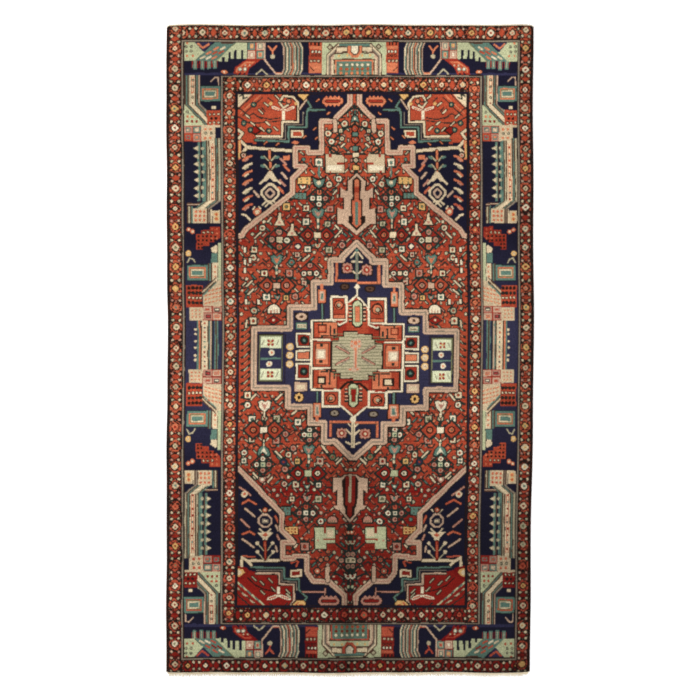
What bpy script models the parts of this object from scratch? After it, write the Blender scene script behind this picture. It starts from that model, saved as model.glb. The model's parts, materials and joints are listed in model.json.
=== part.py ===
"""A hand-knotted area rug, lying flat.

It is built in the layers that a weaver makes: a woven cotton foundation, the knotted wool pile on it in
the zones of the design, an overcast cord along each side, and a flat-woven band with cut warp ends at
each end. X runs across the rug, Y along it and Z up. The origin is at the centre of the underside.
"""

import math

import bpy

# ---- Driving dimensions, in metres ----
KNOT = 0.003  # one knot, across and along
PILE_WIDTH = 496 * KNOT
PILE_LENGTH = 884 * KNOT

FOUNDATION_THICKNESS = 0.003
PILE_HEIGHT = 0.0067
CLEARANCE = 0.0003  # kept between neighbours, which in the rug touch

# Bands of the frame around the field. Those across the ends are a little narrower than the side ones.
OUTER_GUARD_WIDTH = 0.060
MAIN_BORDER_WIDTH = 0.155
END_BORDER_WIDTH = 0.147
INNER_GUARD_WIDTH = 0.057
END_GUARD_WIDTH = 0.069
FIELD_OFFSET = 0.009  # the field was woven this far right of the middle

# The medallion: where its centre lies, the ground left beside it, and its reach towards either end.
# Its steps are shares of its reach, sideways and lengthways.
MEDALLION_CENTRE = (0.018, -0.042)
MEDALLION_MARGIN = 0.048
MEDALLION_END_REACH = 0.443
MEDALLION_STEPS = ((0.660, 0.296), (0.432, 0.479), (0.264, 0.673), (0.130, 0.862))

# The corners of the field at each end. Their steps are shares of the field's half width, from its long
# middle line, and of the corner's length, from the field's end. The ground passes between two corners at
# the neck.
NECK_HALF_WIDTH = 0.020
NECK_SHARE = 0.083
CORNERS = {
    "top": {
        "side": 1,
        "length": 0.600,
        "steps": (
            (0.170, 0.183),
            (0.280, 0.183),
            (0.280, 0.400),
            (0.519, 0.400),
            (0.519, 0.517),
            (0.555, 0.583),
            (0.555, 0.683),
        ),
    },
    "bottom": {
        "side": -1,
        "length": 0.560,
        "steps": (
            (0.180, 0.170),
            (0.320, 0.170),
            (0.360, 0.240),
            (0.360, 0.366),
            (0.572, 0.366),
            (0.572, 0.670),
        ),
    },
}

SELVEDGE_OVERCAST = 0.00125  # how far the bound edge stands above and below the foundation's thickness
SELVEDGE_WALL = 0.0009
SELVEDGE_SIDES = 20

END_CORD_DIAMETER = 0.003
END_CORD_SIDES = 12
FLAT_WEAVE_THICKNESS = 0.002
FRINGE_THICKNESS = 0.0014
FRINGE_BUNDLE_WIDTH = 0.008
FRINGE_BUNDLE_GAP = 0.004
FRINGE_ROOT = 0.0008  # the last weft, which holds the bundles together
# The bottom end keeps its whole flat-woven band. The top end's is worn down and trimmed.
ENDS = {
    "bottom": {"side": -1, "flat_weave": 0.0060, "fringe": 0.0055},
    "top": {"side": 1, "flat_weave": 0.0022, "fringe": 0.0020},
}

# ---- Places worked out from them ----
HALF_WIDTH = PILE_WIDTH / 2
HALF_LENGTH = PILE_LENGTH / 2
PILE_BASE = FOUNDATION_THICKNESS + CLEARANCE
SELVEDGE_DIAMETER = FOUNDATION_THICKNESS + 2 * SELVEDGE_OVERCAST
FULL_WIDTH = PILE_WIDTH + 2 * (CLEARANCE + SELVEDGE_DIAMETER)
FIELD_HALF_LENGTH = HALF_LENGTH - OUTER_GUARD_WIDTH - END_BORDER_WIDTH - END_GUARD_WIDTH
FIELD_HALF_WIDTH = HALF_WIDTH - OUTER_GUARD_WIDTH - MAIN_BORDER_WIDTH - INNER_GUARD_WIDTH

# ---- Wool and cotton: colour, then roughness ----
RUST_WOOL = ("rust_wool", (0.42, 0.11, 0.06), 0.9)
MADDER_WOOL = ("madder_wool", (0.36, 0.05, 0.03), 0.9)
NAVY_WOOL = ("navy_wool", (0.03, 0.03, 0.08), 0.9)
BORDER_WOOL = ("border_wool", (0.22, 0.28, 0.20), 0.9)
SAGE_WOOL = ("sage_wool", (0.40, 0.42, 0.30), 0.9)
DARK_WOOL = ("dark_wool", (0.06, 0.045, 0.04), 0.95)
COTTON = ("cotton", (0.68, 0.60, 0.46), 0.95)


def material(finish):
    """The material of one yarn, made once."""
    name, colour, roughness = finish
    made = bpy.data.materials.get(name)
    if made is None:
        made = bpy.data.materials.new(name)
        made.use_nodes = True
        shader = made.node_tree.nodes["Principled BSDF"]
        shader.inputs["Base Color"].default_value = (*colour, 1.0)
        shader.inputs["Roughness"].default_value = roughness
        shader.inputs["Metallic"].default_value = 0.0
    return made


def clear_scene():
    for thing in list(bpy.data.objects):
        bpy.data.objects.remove(thing)


def rug_collection():
    collection = bpy.data.collections.new("area_rug")
    bpy.context.scene.collection.children.link(collection)
    return collection


def finished(thing, name, finish):
    """Names the object, gives it its yarn and moves it into the rug's collection."""
    thing.name = name
    thing.data.name = name
    thing.data.materials.append(material(finish))
    for owner in list(thing.users_collection):
        owner.objects.unlink(thing)
    bpy.data.collections["area_rug"].objects.link(thing)
    return thing


def slab(name, x_span, y_span, z_span, finish):
    """A flat block between two places on each axis."""
    spans = (x_span, y_span, z_span)
    middle = [(low + high) / 2 for low, high in spans]
    bpy.ops.mesh.primitive_cube_add(size=1, location=middle)
    block = bpy.context.object
    block.scale = [high - low for low, high in spans]
    bpy.ops.object.transform_apply(location=False, rotation=False, scale=True)
    return finished(block, name, finish)


def shrunk(outline, inset):
    """The outline, given anticlockwise, with every side moved in by the inset."""
    moved = []
    for index, corner in enumerate(outline):
        before, after = outline[index - 1], outline[(index + 1) % len(outline)]
        way_in = (corner[0] - before[0], corner[1] - before[1])
        way_out = (after[0] - corner[0], after[1] - corner[1])
        normals = [(-y / math.hypot(x, y), x / math.hypot(x, y)) for x, y in (way_in, way_out)]
        share = inset / (1 + normals[0][0] * normals[1][0] + normals[0][1] * normals[1][1])
        moved.append(
            (
                corner[0] + share * (normals[0][0] + normals[1][0]),
                corner[1] + share * (normals[0][1] + normals[1][1]),
            )
        )
    return moved


def flat_piece(name, outline, bottom, thickness, finish):
    """A piece with a flat outline, standing from the bottom height to a thickness above it."""
    flat = bpy.data.curves.new(name, "CURVE")
    flat.dimensions = "2D"
    flat.fill_mode = "BOTH"
    flat.extrude = thickness / 2
    line = flat.splines.new("POLY")
    line.points.add(len(outline) - 1)
    for point, (x, y) in zip(line.points, outline):
        point.co = (x, y, 0, 1)
    line.use_cyclic_u = True
    piece = bpy.data.objects.new(name, flat)
    piece.location = (0, 0, bottom + thickness / 2)
    bpy.context.scene.collection.objects.link(piece)
    return finished(piece, name, finish)


def pile_zone(name, outline, finish):
    """One zone of the pile, inside an outline given anticlockwise, which its neighbours share."""
    return flat_piece(name, shrunk(outline, CLEARANCE / 2), PILE_BASE, PILE_HEIGHT, finish)


def rectangle(left, right, low, high):
    return [(left, low), (right, low), (right, high), (left, high)]


def band_of_four(name, outer, inner, finish):
    """The four strips between two rectangles, each (left, right, low, high). The side ones run full length."""
    left, right, low, high = outer
    inner_left, inner_right, inner_low, inner_high = inner
    pile_zone(f"{name}_left", rectangle(left, inner_left, low, high), finish)
    pile_zone(f"{name}_right", rectangle(inner_right, right, low, high), finish)
    pile_zone(f"{name}_bottom", rectangle(inner_left, inner_right, low, inner_low), finish)
    pile_zone(f"{name}_top", rectangle(inner_left, inner_right, inner_high, high), finish)


def make_borders():
    edge = (-HALF_WIDTH, HALF_WIDTH, -HALF_LENGTH, HALF_LENGTH)
    guard = (
        -HALF_WIDTH + OUTER_GUARD_WIDTH,
        HALF_WIDTH - OUTER_GUARD_WIDTH,
        -HALF_LENGTH + OUTER_GUARD_WIDTH,
        HALF_LENGTH - OUTER_GUARD_WIDTH,
    )
    field = (
        FIELD_OFFSET - FIELD_HALF_WIDTH,
        FIELD_OFFSET + FIELD_HALF_WIDTH,
        -FIELD_HALF_LENGTH,
        FIELD_HALF_LENGTH,
    )
    border = (
        field[0] - INNER_GUARD_WIDTH,
        field[1] + INNER_GUARD_WIDTH,
        field[2] - END_GUARD_WIDTH,
        field[3] + END_GUARD_WIDTH,
    )
    band_of_four("pile_outer_guard", edge, guard, RUST_WOOL)
    band_of_four("pile_main_border", guard, border, BORDER_WOOL)
    band_of_four("pile_inner_guard", border, field, RUST_WOOL)


def corner_line(side, corner):
    """The stepped edge of one corner of the field, from the field's end to its long side."""
    length = corner["length"]
    line = [(NECK_HALF_WIDTH, 0.0), (NECK_HALF_WIDTH, NECK_SHARE * length)]
    line += [(across * FIELD_HALF_WIDTH, down * length) for across, down in corner["steps"]]
    line.append((FIELD_HALF_WIDTH, length))
    return [(FIELD_OFFSET + side * x, corner["side"] * (FIELD_HALF_LENGTH - y)) for x, y in line]


def medallion_line(side, end):
    """The stepped edge of a quarter of the medallion, from its side tip to its end tip."""
    x_centre, y_centre = MEDALLION_CENTRE
    side_reach = FIELD_HALF_WIDTH - MEDALLION_MARGIN
    line = [(side_reach, 0.0)]
    for across, along in MEDALLION_STEPS:
        height = along * MEDALLION_END_REACH
        line.append((line[-1][0], height))
        line.append((across * side_reach, height))
    line.append((0.0, MEDALLION_END_REACH))
    return [(x_centre + side * x, y_centre + end * y) for x, y in line]


def anticlockwise(outline):
    area = sum(
        outline[i - 1][0] * outline[i][1] - outline[i][0] * outline[i - 1][1]
        for i in range(len(outline))
    )
    return outline if area > 0 else outline[::-1]


def make_field():
    """The four stepped corners, the medallion, and the ground between them in an upper and a lower half."""
    for end_name, corner in CORNERS.items():
        for side, side_name in ((-1, "left"), (1, "right")):
            far_corner = (FIELD_OFFSET + side * FIELD_HALF_WIDTH, corner["side"] * FIELD_HALF_LENGTH)
            outline = anticlockwise([*corner_line(side, corner), far_corner])
            pile_zone(f"pile_corner_{end_name}_{side_name}", outline, NAVY_WOOL)

    upper = medallion_line(1, 1) + medallion_line(-1, 1)[-2::-1]
    lower = medallion_line(-1, -1) + medallion_line(1, -1)[-2::-1]
    pile_zone("pile_medallion", anticlockwise(upper[:-1] + lower[:-1]), SAGE_WOOL)

    middle = MEDALLION_CENTRE[1]
    halves = (("pile_field_upper", "top", RUST_WOOL), ("pile_field_lower", "bottom", MADDER_WOOL))
    for name, end_name, finish in halves:
        corner = CORNERS[end_name]
        outline = [
            *corner_line(-1, corner),
            (FIELD_OFFSET - FIELD_HALF_WIDTH, middle),
            *medallion_line(-1, corner["side"]),
            *medallion_line(1, corner["side"])[-2::-1],
            (FIELD_OFFSET + FIELD_HALF_WIDTH, middle),
            *corner_line(1, corner)[::-1],
        ]
        pile_zone(name, anticlockwise(outline), finish)


def cord(name, radius, sides, length, place, along, finish, hollow_wall=0.0):
    """A straight cord lying along X or Y, solid or, with a wall, a wrapping that is open at both ends."""
    turn = (math.pi / 2, 0, 0) if along == "Y" else (0, math.pi / 2, 0)
    bpy.ops.mesh.primitive_cylinder_add(
        vertices=sides,
        radius=radius,
        depth=length,
        location=place,
        rotation=turn,
        end_fill_type="NOTHING" if hollow_wall else "NGON",
    )
    made = finished(bpy.context.object, name, finish)
    if hollow_wall:
        wall = made.modifiers.new("wall", "SOLIDIFY")
        wall.thickness = hollow_wall
        wall.offset = -1
    made.data.shade_smooth()
    made.data.set_sharp_from_angle(angle=math.radians(40))
    return made


def make_selvedges():
    """Along each side, a bundle of warps as the core and the dark wool that overcasts it."""
    radius = SELVEDGE_DIAMETER / 2
    # The flats of a polygon lie inside its circle, so the core is measured to the wrapping's flats.
    flats = (radius - SELVEDGE_WALL) * math.cos(math.pi / SELVEDGE_SIDES)
    sides = SELVEDGE_SIDES
    for side, name in ((-1, "left"), (1, "right")):
        place = (side * (HALF_WIDTH + CLEARANCE + radius), 0, radius)
        cord(f"selvedge_wrap_{name}", radius, sides, PILE_LENGTH, place, "Y", DARK_WOOL, SELVEDGE_WALL)
        cord(f"selvedge_core_{name}", flats - CLEARANCE, sides, PILE_LENGTH, place, "Y", COTTON)


def make_fringe(name, side, start, length):
    """The cut warp ends: a comb of flat bundles, held together by the last weft."""
    pitch = FRINGE_BUNDLE_WIDTH + FRINGE_BUNDLE_GAP
    count = int(PILE_WIDTH / pitch)
    root, tip = side * (start + FRINGE_ROOT), side * (start + length)
    outline = []
    for index in range(count):
        left = (index - count / 2) * pitch + FRINGE_BUNDLE_GAP / 2
        right = left + FRINGE_BUNDLE_WIDTH
        outline += [(left, root), (left, tip), (right, tip), (right, root)]
    first, last = outline[0][0], outline[-1][0]
    outline = [(first, side * start), *outline[1:-1], (last, side * start)]
    return flat_piece(name, outline, CLEARANCE, FRINGE_THICKNESS, COTTON)


def make_ends():
    """At each end: a twined cord from side to side, the flat-woven band, then the cut warp ends."""
    for name, end in ENDS.items():
        side = end["side"]
        cord_middle = HALF_LENGTH + CLEARANCE + END_CORD_DIAMETER / 2
        place = (0, side * cord_middle, END_CORD_DIAMETER / 2)
        cord(f"end_cord_{name}", END_CORD_DIAMETER / 2, END_CORD_SIDES, FULL_WIDTH, place, "X", COTTON)

        weave_start = cord_middle + END_CORD_DIAMETER / 2 + CLEARANCE
        weave_end = weave_start + end["flat_weave"]
        weave_span = sorted((side * weave_start, side * weave_end))
        slab(
            f"flat_weave_{name}",
            (-HALF_WIDTH, HALF_WIDTH),
            weave_span,
            (0, FLAT_WEAVE_THICKNESS),
            COTTON,
        )
        make_fringe(f"fringe_{name}", side, weave_end + CLEARANCE, end["fringe"])


def main():
    clear_scene()
    rug_collection()
    slab(
        "woven_foundation",
        (-HALF_WIDTH, HALF_WIDTH),
        (-HALF_LENGTH, HALF_LENGTH),
        (0, FOUNDATION_THICKNESS),
        COTTON,
    )
    make_borders()
    make_field()
    make_selvedges()
    make_ends()


main()
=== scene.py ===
# %% [markdown]
# # A hand-knotted area rug, lying flat
# The real rug is a cotton web with a short wool knot tied round every pair of its warps, row after row.
# The finished model keeps that order: first the design is worked out on a grid with one square for each
# knot, as a weaver's cartoon is, and then each zone of the pile is made as a sheet with one face per knot.

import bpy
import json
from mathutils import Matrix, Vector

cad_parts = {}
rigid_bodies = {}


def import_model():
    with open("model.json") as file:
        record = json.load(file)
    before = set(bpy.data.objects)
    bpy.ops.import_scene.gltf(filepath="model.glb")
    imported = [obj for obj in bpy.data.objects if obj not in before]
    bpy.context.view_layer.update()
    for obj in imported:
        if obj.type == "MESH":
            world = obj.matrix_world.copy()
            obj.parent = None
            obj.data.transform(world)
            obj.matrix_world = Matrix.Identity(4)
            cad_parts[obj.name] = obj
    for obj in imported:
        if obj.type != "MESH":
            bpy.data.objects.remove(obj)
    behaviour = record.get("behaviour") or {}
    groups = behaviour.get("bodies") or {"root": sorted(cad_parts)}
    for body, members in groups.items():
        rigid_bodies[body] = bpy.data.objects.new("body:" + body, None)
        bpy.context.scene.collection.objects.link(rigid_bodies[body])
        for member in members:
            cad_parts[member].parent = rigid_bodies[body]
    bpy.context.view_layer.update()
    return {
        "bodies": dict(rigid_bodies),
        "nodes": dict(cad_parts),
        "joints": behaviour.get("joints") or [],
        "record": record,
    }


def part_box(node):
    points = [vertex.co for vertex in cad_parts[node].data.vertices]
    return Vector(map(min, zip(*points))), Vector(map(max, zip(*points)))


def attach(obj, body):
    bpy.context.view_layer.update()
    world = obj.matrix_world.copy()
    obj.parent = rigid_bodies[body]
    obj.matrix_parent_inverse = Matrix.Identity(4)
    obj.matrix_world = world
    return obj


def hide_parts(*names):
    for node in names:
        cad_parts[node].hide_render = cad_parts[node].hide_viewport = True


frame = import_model()

# %% Other modules
import json
import math

import bpy
import numpy as np
from mathutils import Vector

# %% [markdown]
# ## The knot grid
# The real rug has about thirty knots to every ten centimetres, and its design can only change from one
# knot to the next. It could be painted as smooth shapes, but the small steps along every slanted line are
# what makes it look knotted. So the whole design is kept as one square for each knot. A slow drift is added
# to all places, because no hand-woven line runs quite true.

# %% The knot grid
KNOT = 0.3
COLUMNS, ROWS = 496, 884
column, row = np.meshgrid(np.arange(COLUMNS), np.arange(ROWS))
x_cm = (column + 0.5 - COLUMNS / 2) * KNOT
y_cm = (row + 0.5 - ROWS / 2) * KNOT
rng = np.random.default_rng(7)


def wander(seed, reach, spacing):
    """A smooth drift over the rug: random values on a coarse grid, blended between with cosines."""
    numbers = np.random.default_rng(seed)
    tall, wide = int(ROWS * KNOT / spacing) + 3, int(COLUMNS * KNOT / spacing) + 3
    coarse = numbers.uniform(-1, 1, (tall, wide))
    v, u = row * KNOT / spacing, column * KNOT / spacing
    i, j = v.astype(int), u.astype(int)
    fade_v, fade_u = (v - i) ** 2 * (3 - 2 * (v - i)), (u - j) ** 2 * (3 - 2 * (u - j))
    low = coarse[i, j] * (1 - fade_u) + coarse[i, j + 1] * fade_u
    high = coarse[i + 1, j] * (1 - fade_u) + coarse[i + 1, j + 1] * fade_u
    return reach * (low * (1 - fade_v) + high * fade_v)

print("knots", COLUMNS * ROWS)

# %% [markdown]
# ## The wools
# The yarn is hand-spun sheep's wool, dyed with madder, indigo, weld and walnut, with a few undyed browns and
# creams. A rug needs surprisingly few of them. Each gets a name and a shade here, and the pile's colour is
# looked up by name, so one change of a shade reaches every knot of that wool.

# %% Wools
WOOLS = {
    "navy": (24, 22, 40),
    "indigo": (46, 44, 70),
    "brown": (36, 23, 18),
    "umber": (82, 56, 42),
    "rust": (178, 77, 50),
    "coral": (186, 94, 64),
    "madder": (134, 28, 20),
    "brick": (156, 53, 36),
    "salmon": (208, 124, 86),
    "pink": (182, 128, 108),
    "outline": (196, 163, 136),
    "stone": (138, 124, 106),
    "cream": (216, 194, 158),
    "ivory": (226, 211, 180),
    "gold": (214, 168, 104),
    "straw": (200, 177, 143),
    "green": (184, 186, 146),
    "mist": (214, 216, 178),
    "sage": (178, 166, 134),
    "olive": (112, 112, 80),
    "teal": (92, 120, 106),
    "forest": (32, 42, 37),
    "rose": (170, 60, 58),
}
names = list(WOOLS)
design = np.zeros((ROWS, COLUMNS), np.uint8)

print("wools", len(names))

# %% [markdown]
# ## Shapes, and how they are woven
# The figures of a village rug are made from blocks, diamonds, discs, lines and patches. Each could be placed
# knot by knot, as a weaver does from memory, but a shape in centimetres is shorter and is easy to move. A
# shape here is a test that says which knots lie in it. A ground is a part of the rug with its own
# coordinates, so that one drawing serves the left and right halves, or all four quarters.


# %% Shapes
def block(left, right, low, high):
    return lambda u, v: (u > left) & (u < right) & (v > low) & (v < high), low, high


def diamond(x, y, half_width, half_height=None):
    tall = half_height or half_width
    return lambda u, v: abs(u - x) / half_width + abs(v - y) / tall < 1, y - tall, y + tall


def disc(x, y, radius, squash=1.0):
    return lambda u, v: np.hypot(
        u - x, (v - y) / squash
    ) < radius, y - radius * squash, y + radius * squash


def line(width, *points):
    def test(u, v):
        near = np.full(u.shape, False)
        for (x0, y0), (x1, y1) in zip(points, points[1:]):
            run, rise = x1 - x0, y1 - y0
            along = np.clip(((u - x0) * run + (v - y0) * rise) / (run * run + rise * rise), 0, 1)
            near |= np.hypot(u - x0 - along * run, v - y0 - along * rise) < width / 2
        return near

    heights = [y for _, y in points]
    return test, min(heights) - width, max(heights) + width


def patch(*points):
    def test(u, v):
        inside = np.full(u.shape, False)
        for (x0, y0), (x1, y1) in zip(points, points[1:] + points[:1]):
            if y0 != y1:
                inside ^= ((y0 > v) != (y1 > v)) & (u < (x1 - x0) * (v - y0) / (y1 - y0) + x0)
        return inside

    heights = [y for _, y in points]
    return test, min(heights), max(heights)


class Ground:
    """A part of the rug with its own coordinates: u across and v along, both in centimetres."""

    def __init__(self, u, v, inside, wobble=0.13):
        self.u = u + wobble * drift_u
        self.v = v + wobble * drift_v
        self.inside = inside
        self.lows, self.highs = self.v.min(axis=1), self.v.max(axis=1)

    def rows(self, low, high):
        found = np.flatnonzero((self.highs > low) & (self.lows < high))
        return slice(found[0], found[-1] + 1) if len(found) else slice(0, 0)


drift_u, drift_v = wander(11, 1, 3.1), wander(12, 1, 2.7)


def weave(grounds, wool, *shapes):
    for ground in grounds:
        for test, low, high in shapes:
            rows = ground.rows(low, high)
            hit = test(ground.u[rows], ground.v[rows]) & ground.inside[rows]
            design[rows][hit] = names.index(wool)

# %% [markdown]
# ## The weaver's notes
# In a workshop the design is often called out to the weavers as a talim, a string of short notes. The same
# is done here, because hundreds of figures are woven once each. A note is a wool, a shape, and the shape's
# sizes in centimetres, with a point written as across,along. A shape without a wool takes the last one.
# Later notes lie over earlier ones.

# %% Reading the notes
SHAPES = {
    "block": block, "diamond": diamond, "disc": disc, "line": lambda width, *flat: line(
        width, *zip(flat[::2], flat[1::2])
    ), "patch": lambda *flat: patch(*zip(flat[::2], flat[1::2])),
}


def talim(grounds, notes):
    """Weaves all the shapes of a string of notes, in their order."""
    wool, shape, sizes = None, None, []
    for word in notes.split() + ["end"]:
        if word[-1].isdigit():
            sizes += [float(size) for size in word.split(",")]
            continue
        if sizes:
            weave(grounds, wool, SHAPES[shape](*sizes))
            sizes = []
        if word in SHAPES:
            shape = word
        else:
            wool = word


before = design.copy()


def knotted(step):
    """Prints how many knots a step has changed."""
    print(step, int((design != before).sum()), "knots")
    before[:] = design

# %% [markdown]
# ## Where the bands run
# From the edge inwards the rug has an outer guard, a broad main border, an inner guard, and then the field.
# The bands could be of one width all round, but hand weaving makes each side a little different, and the
# middle line of the design wanders by a few centimetres. The places of all four edges are given, and every
# knot learns which band it lies in, and where its twin on the other half would be.

# %% Where the bands run, in centimetres from the middle of the rug
SIDE_LINES = {"left": (-74.4, -68.3, -52.2, -46.3), "right": (74.4, 69.0, 53.7, 48.4)}
END_LINES = {"top": (132.6, 126.4, 111.8, 105.0), "bottom": (-132.6, -127.1, -112.6, -105.6)}
axis = np.interp(
    y_cm, (-130, -85, -60, -40, 0, 40, 60, 100, 130), (0.5, 0.75, 0.3, 0.7, 1.9, 2.5, 2.6, 2.1, 2.0)
)
left_half = x_cm < axis


def mirrored():
    """Every knot's distance across the rug as its twin on the left half would measure it."""
    across = np.interp(x_cm, SIDE_LINES["right"][::-1], SIDE_LINES["left"][::-1])
    edge, twin = SIDE_LINES["right"][3], SIDE_LINES["left"][3]
    inner = axis - (x_cm - axis) * (axis - twin) / (edge - axis)
    return np.where(left_half, x_cm, np.where(x_cm < edge, inner, across))


u_mirror = mirrored()


# %% Which band each knot lies in
def outside(edge):
    """Knots beyond a given edge of the bands, on any side."""
    across = (x_cm < SIDE_LINES["left"][edge]) | (x_cm > SIDE_LINES["right"][edge])
    return across | (y_cm > END_LINES["top"][edge]) | (y_cm < END_LINES["bottom"][edge])


in_outer = outside(1)
in_border = ~in_outer & outside(2)
in_inner = ~in_outer & ~in_border & outside(3)
in_field = ~(in_outer | in_border | in_inner)

print("knots in the field", int(in_field.sum()))

# %% The quarters of the end borders
TOP_AXIS = 2.0
END_TWIN = SIDE_LINES["left"][1]


def end_ground(is_left, is_top):
    """A quarter of the end borders, in the coordinates of the top left one."""
    reach = np.where(is_left, axis - x_cm, x_cm - axis)
    edge = (axis - SIDE_LINES["left"][1]) if is_left else (SIDE_LINES["right"][1] - axis)
    u = TOP_AXIS - reach * (TOP_AXIS - END_TWIN) / edge
    if is_top:
        v, inside = y_cm, y_cm > 0
    else:
        v = np.interp(-y_cm, (-140, 0, 112.6, 127.1, 133), (-140, 0, 111.8, 126.4, 132.6))
        inside = y_cm < 0
    half = left_half if is_left else ~left_half
    return Ground(u, v, inside & half & in_border)


ends = [end_ground(is_left, is_top) for is_left in (True, False) for is_top in (True, False)]

print("end quarters", len(ends))

# %% The quarters of the side borders
MIDDLE = 1.9


def side_ground(is_left, is_top, swap=False):
    """A quarter of the side borders, as the top left one. Swapped, its band changes edge."""
    u = u_mirror
    if swap:
        u = sum(SIDE_LINES["left"][1:3]) - u
    v = y_cm if is_top else MIDDLE + (MIDDLE - y_cm) * 0.9624
    half = left_half if is_left else ~left_half
    up = y_cm >= MIDDLE if is_top else y_cm < MIDDLE
    return Ground(u, v, up & half & in_border)


sides = [side_ground(is_left, is_top) for is_left in (True, False) for is_top in (True, False)]
# Towards the corners the striped band changes edge, except at the top left.
other_quarters = ((True, False), (False, True), (False, False))
outer_sides = [side_ground(True, True)] + [side_ground(*quarter, swap=True) for quarter in other_quarters]
print("side quarters", len(sides))

# %% [markdown]
# ## The guards
# A guard is a narrow band with one small flower after another, a lozenge between two, and two dark vines
# that wind past them. Stamping one flower evenly would look printed. So each band is worked out from the
# distance along it, and each flower gets its own size, place and wools from a seeded draw.

# %% One guard band
PETALS = {"cream": 0.34, "gold": 0.16, "ivory": 0.14, "straw": 0.16, "sage": 0.1, "salmon": 0.1}
HEARTS = {"rust": 0.3, "madder": 0.25, "olive": 0.15, "gold": 0.15, "teal": 0.15}


def guard(inside, along, across, half, period, grounds=("coral", "rust"), start=0.0, flower=1.2, seed=1):
    """A band of small flowers, evenly spaced, with dotted dark lozenges between them."""
    numbers = np.random.default_rng(seed)
    along = along - start + 0.18 * drift_u
    across = across + 0.15 * drift_v
    turn = np.floor(along / period).astype(int)
    turn -= turn.min()
    step = along - (np.floor(along / period) + 0.5) * period
    count = turn.max() + 1
    petals = numbers.choice(list(PETALS), count, p=list(PETALS.values()))
    hearts = numbers.choice(list(HEARTS), count, p=list(HEARTS.values()))
    sizes = numbers.uniform(0.72, 1.12, count) * flower
    shift = numbers.uniform(-0.45, 0.45, count)
    petal, heart = [np.array([names.index(n) for n in some]) for some in (petals, hearts)]
    ground = np.array([names.index(g) for g in grounds])
    noise = rng.random(x_cm.shape)

    def fill(test, wool):
        chosen = test & inside
        value = names.index(wool) if isinstance(wool, str) else wool[chosen]
        design[chosen] = value

    blotch = wander(seed + 50, 1, 1.3)
    fill(inside, np.where(blotch > 0.3, names.index("umber"), names.index("brown")))
    fill(noise < 0.14, ground[1] + 0 * turn)
    fill(noise > 0.96, "stone")
    far_across = abs(across) / half
    between = abs(abs(step) - period / 2)
    # a red patch round each flower, a small one between two, and a dark vine that winds past them
    near = np.hypot(step - shift[turn], across)
    fill(near < 2.25 + 0.6 * blotch, ground[0] + 0 * turn)
    fill((between * 1.1 + abs(across) * 0.5 < 1.35) & (far_across < 0.7), ground[1] + 0 * turn)
    vine = half * 0.62 * np.cos(math.tau * (step - shift[turn]) / period * 2)
    fill((abs(across - vine) < 0.26) & (near > sizes[turn] + 0.5), "brown")
    fill((abs(across + vine) < 0.26) & (near > sizes[turn] + 0.5), "brown")
    square = abs(step - shift[turn]) + abs(across)
    fill((near < sizes[turn] + 0.7) & (noise > 0.25), "brown")
    fill((square < sizes[turn] * 1.3) & (near < sizes[turn] + 0.1), petal[turn])
    fill(near < sizes[turn] * 0.42, heart[turn])
    # pairs of small dots
    dots = np.hypot(between - 1.25, abs(across) - half * 0.5)
    pale = np.array([names.index(n) for n in ("cream", "outline", "sage", "pink")])
    paler = pale[(turn * 5 + 2 * (across > 0) + (step > 0)) % 4]
    fill(dots < 0.8, "brown")
    fill(dots < 0.5, paler)
    fill(far_across > 0.94, "brown")

# %% The eight guards
left, right, top, bottom = SIDE_LINES["left"], SIDE_LINES["right"], END_LINES["top"], END_LINES["bottom"]
on_left, on_right = in_outer & (x_cm < left[1]), in_outer & (x_cm > right[1])
at_ends = in_outer & ~on_left & ~on_right
guard(on_left, y_cm, x_cm + 71.4, 2.95, 8.15, start=4.9, seed=21)
guard(on_right, y_cm, x_cm - 71.7, 2.7, 8.15, start=4.9, seed=22)
guard(at_ends & (y_cm > top[1]), x_cm, y_cm - 129.7, 3.1, 8.4, start=3.0, seed=23)
guard(at_ends & (y_cm < bottom[1]), x_cm, y_cm + 129.9, 2.75, 8.0, ("madder", "madder"), 1.5, 1.0, 24)
on_left, on_right = in_inner & (x_cm < left[3]), in_inner & (x_cm > right[3])
at_ends = in_inner & ~on_left & ~on_right
guard(on_left, y_cm, x_cm + 49.1, 2.6, 7.1, start=1.4, seed=31, flower=1.05)
guard(on_right, y_cm, x_cm - 51.0, 2.5, 7.3, start=1.0, seed=32, flower=1.05)
guard(at_ends & (y_cm > top[3]), x_cm, y_cm - 108.3, 3.1, 8.0, start=2.0, seed=33, flower=1.15)
guard(at_ends & (y_cm < bottom[3]), x_cm, y_cm + 109.0, 3.2, 7.9, ("brick", "madder"), 2.0, 1.15, 34)
knotted("guards")


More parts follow.
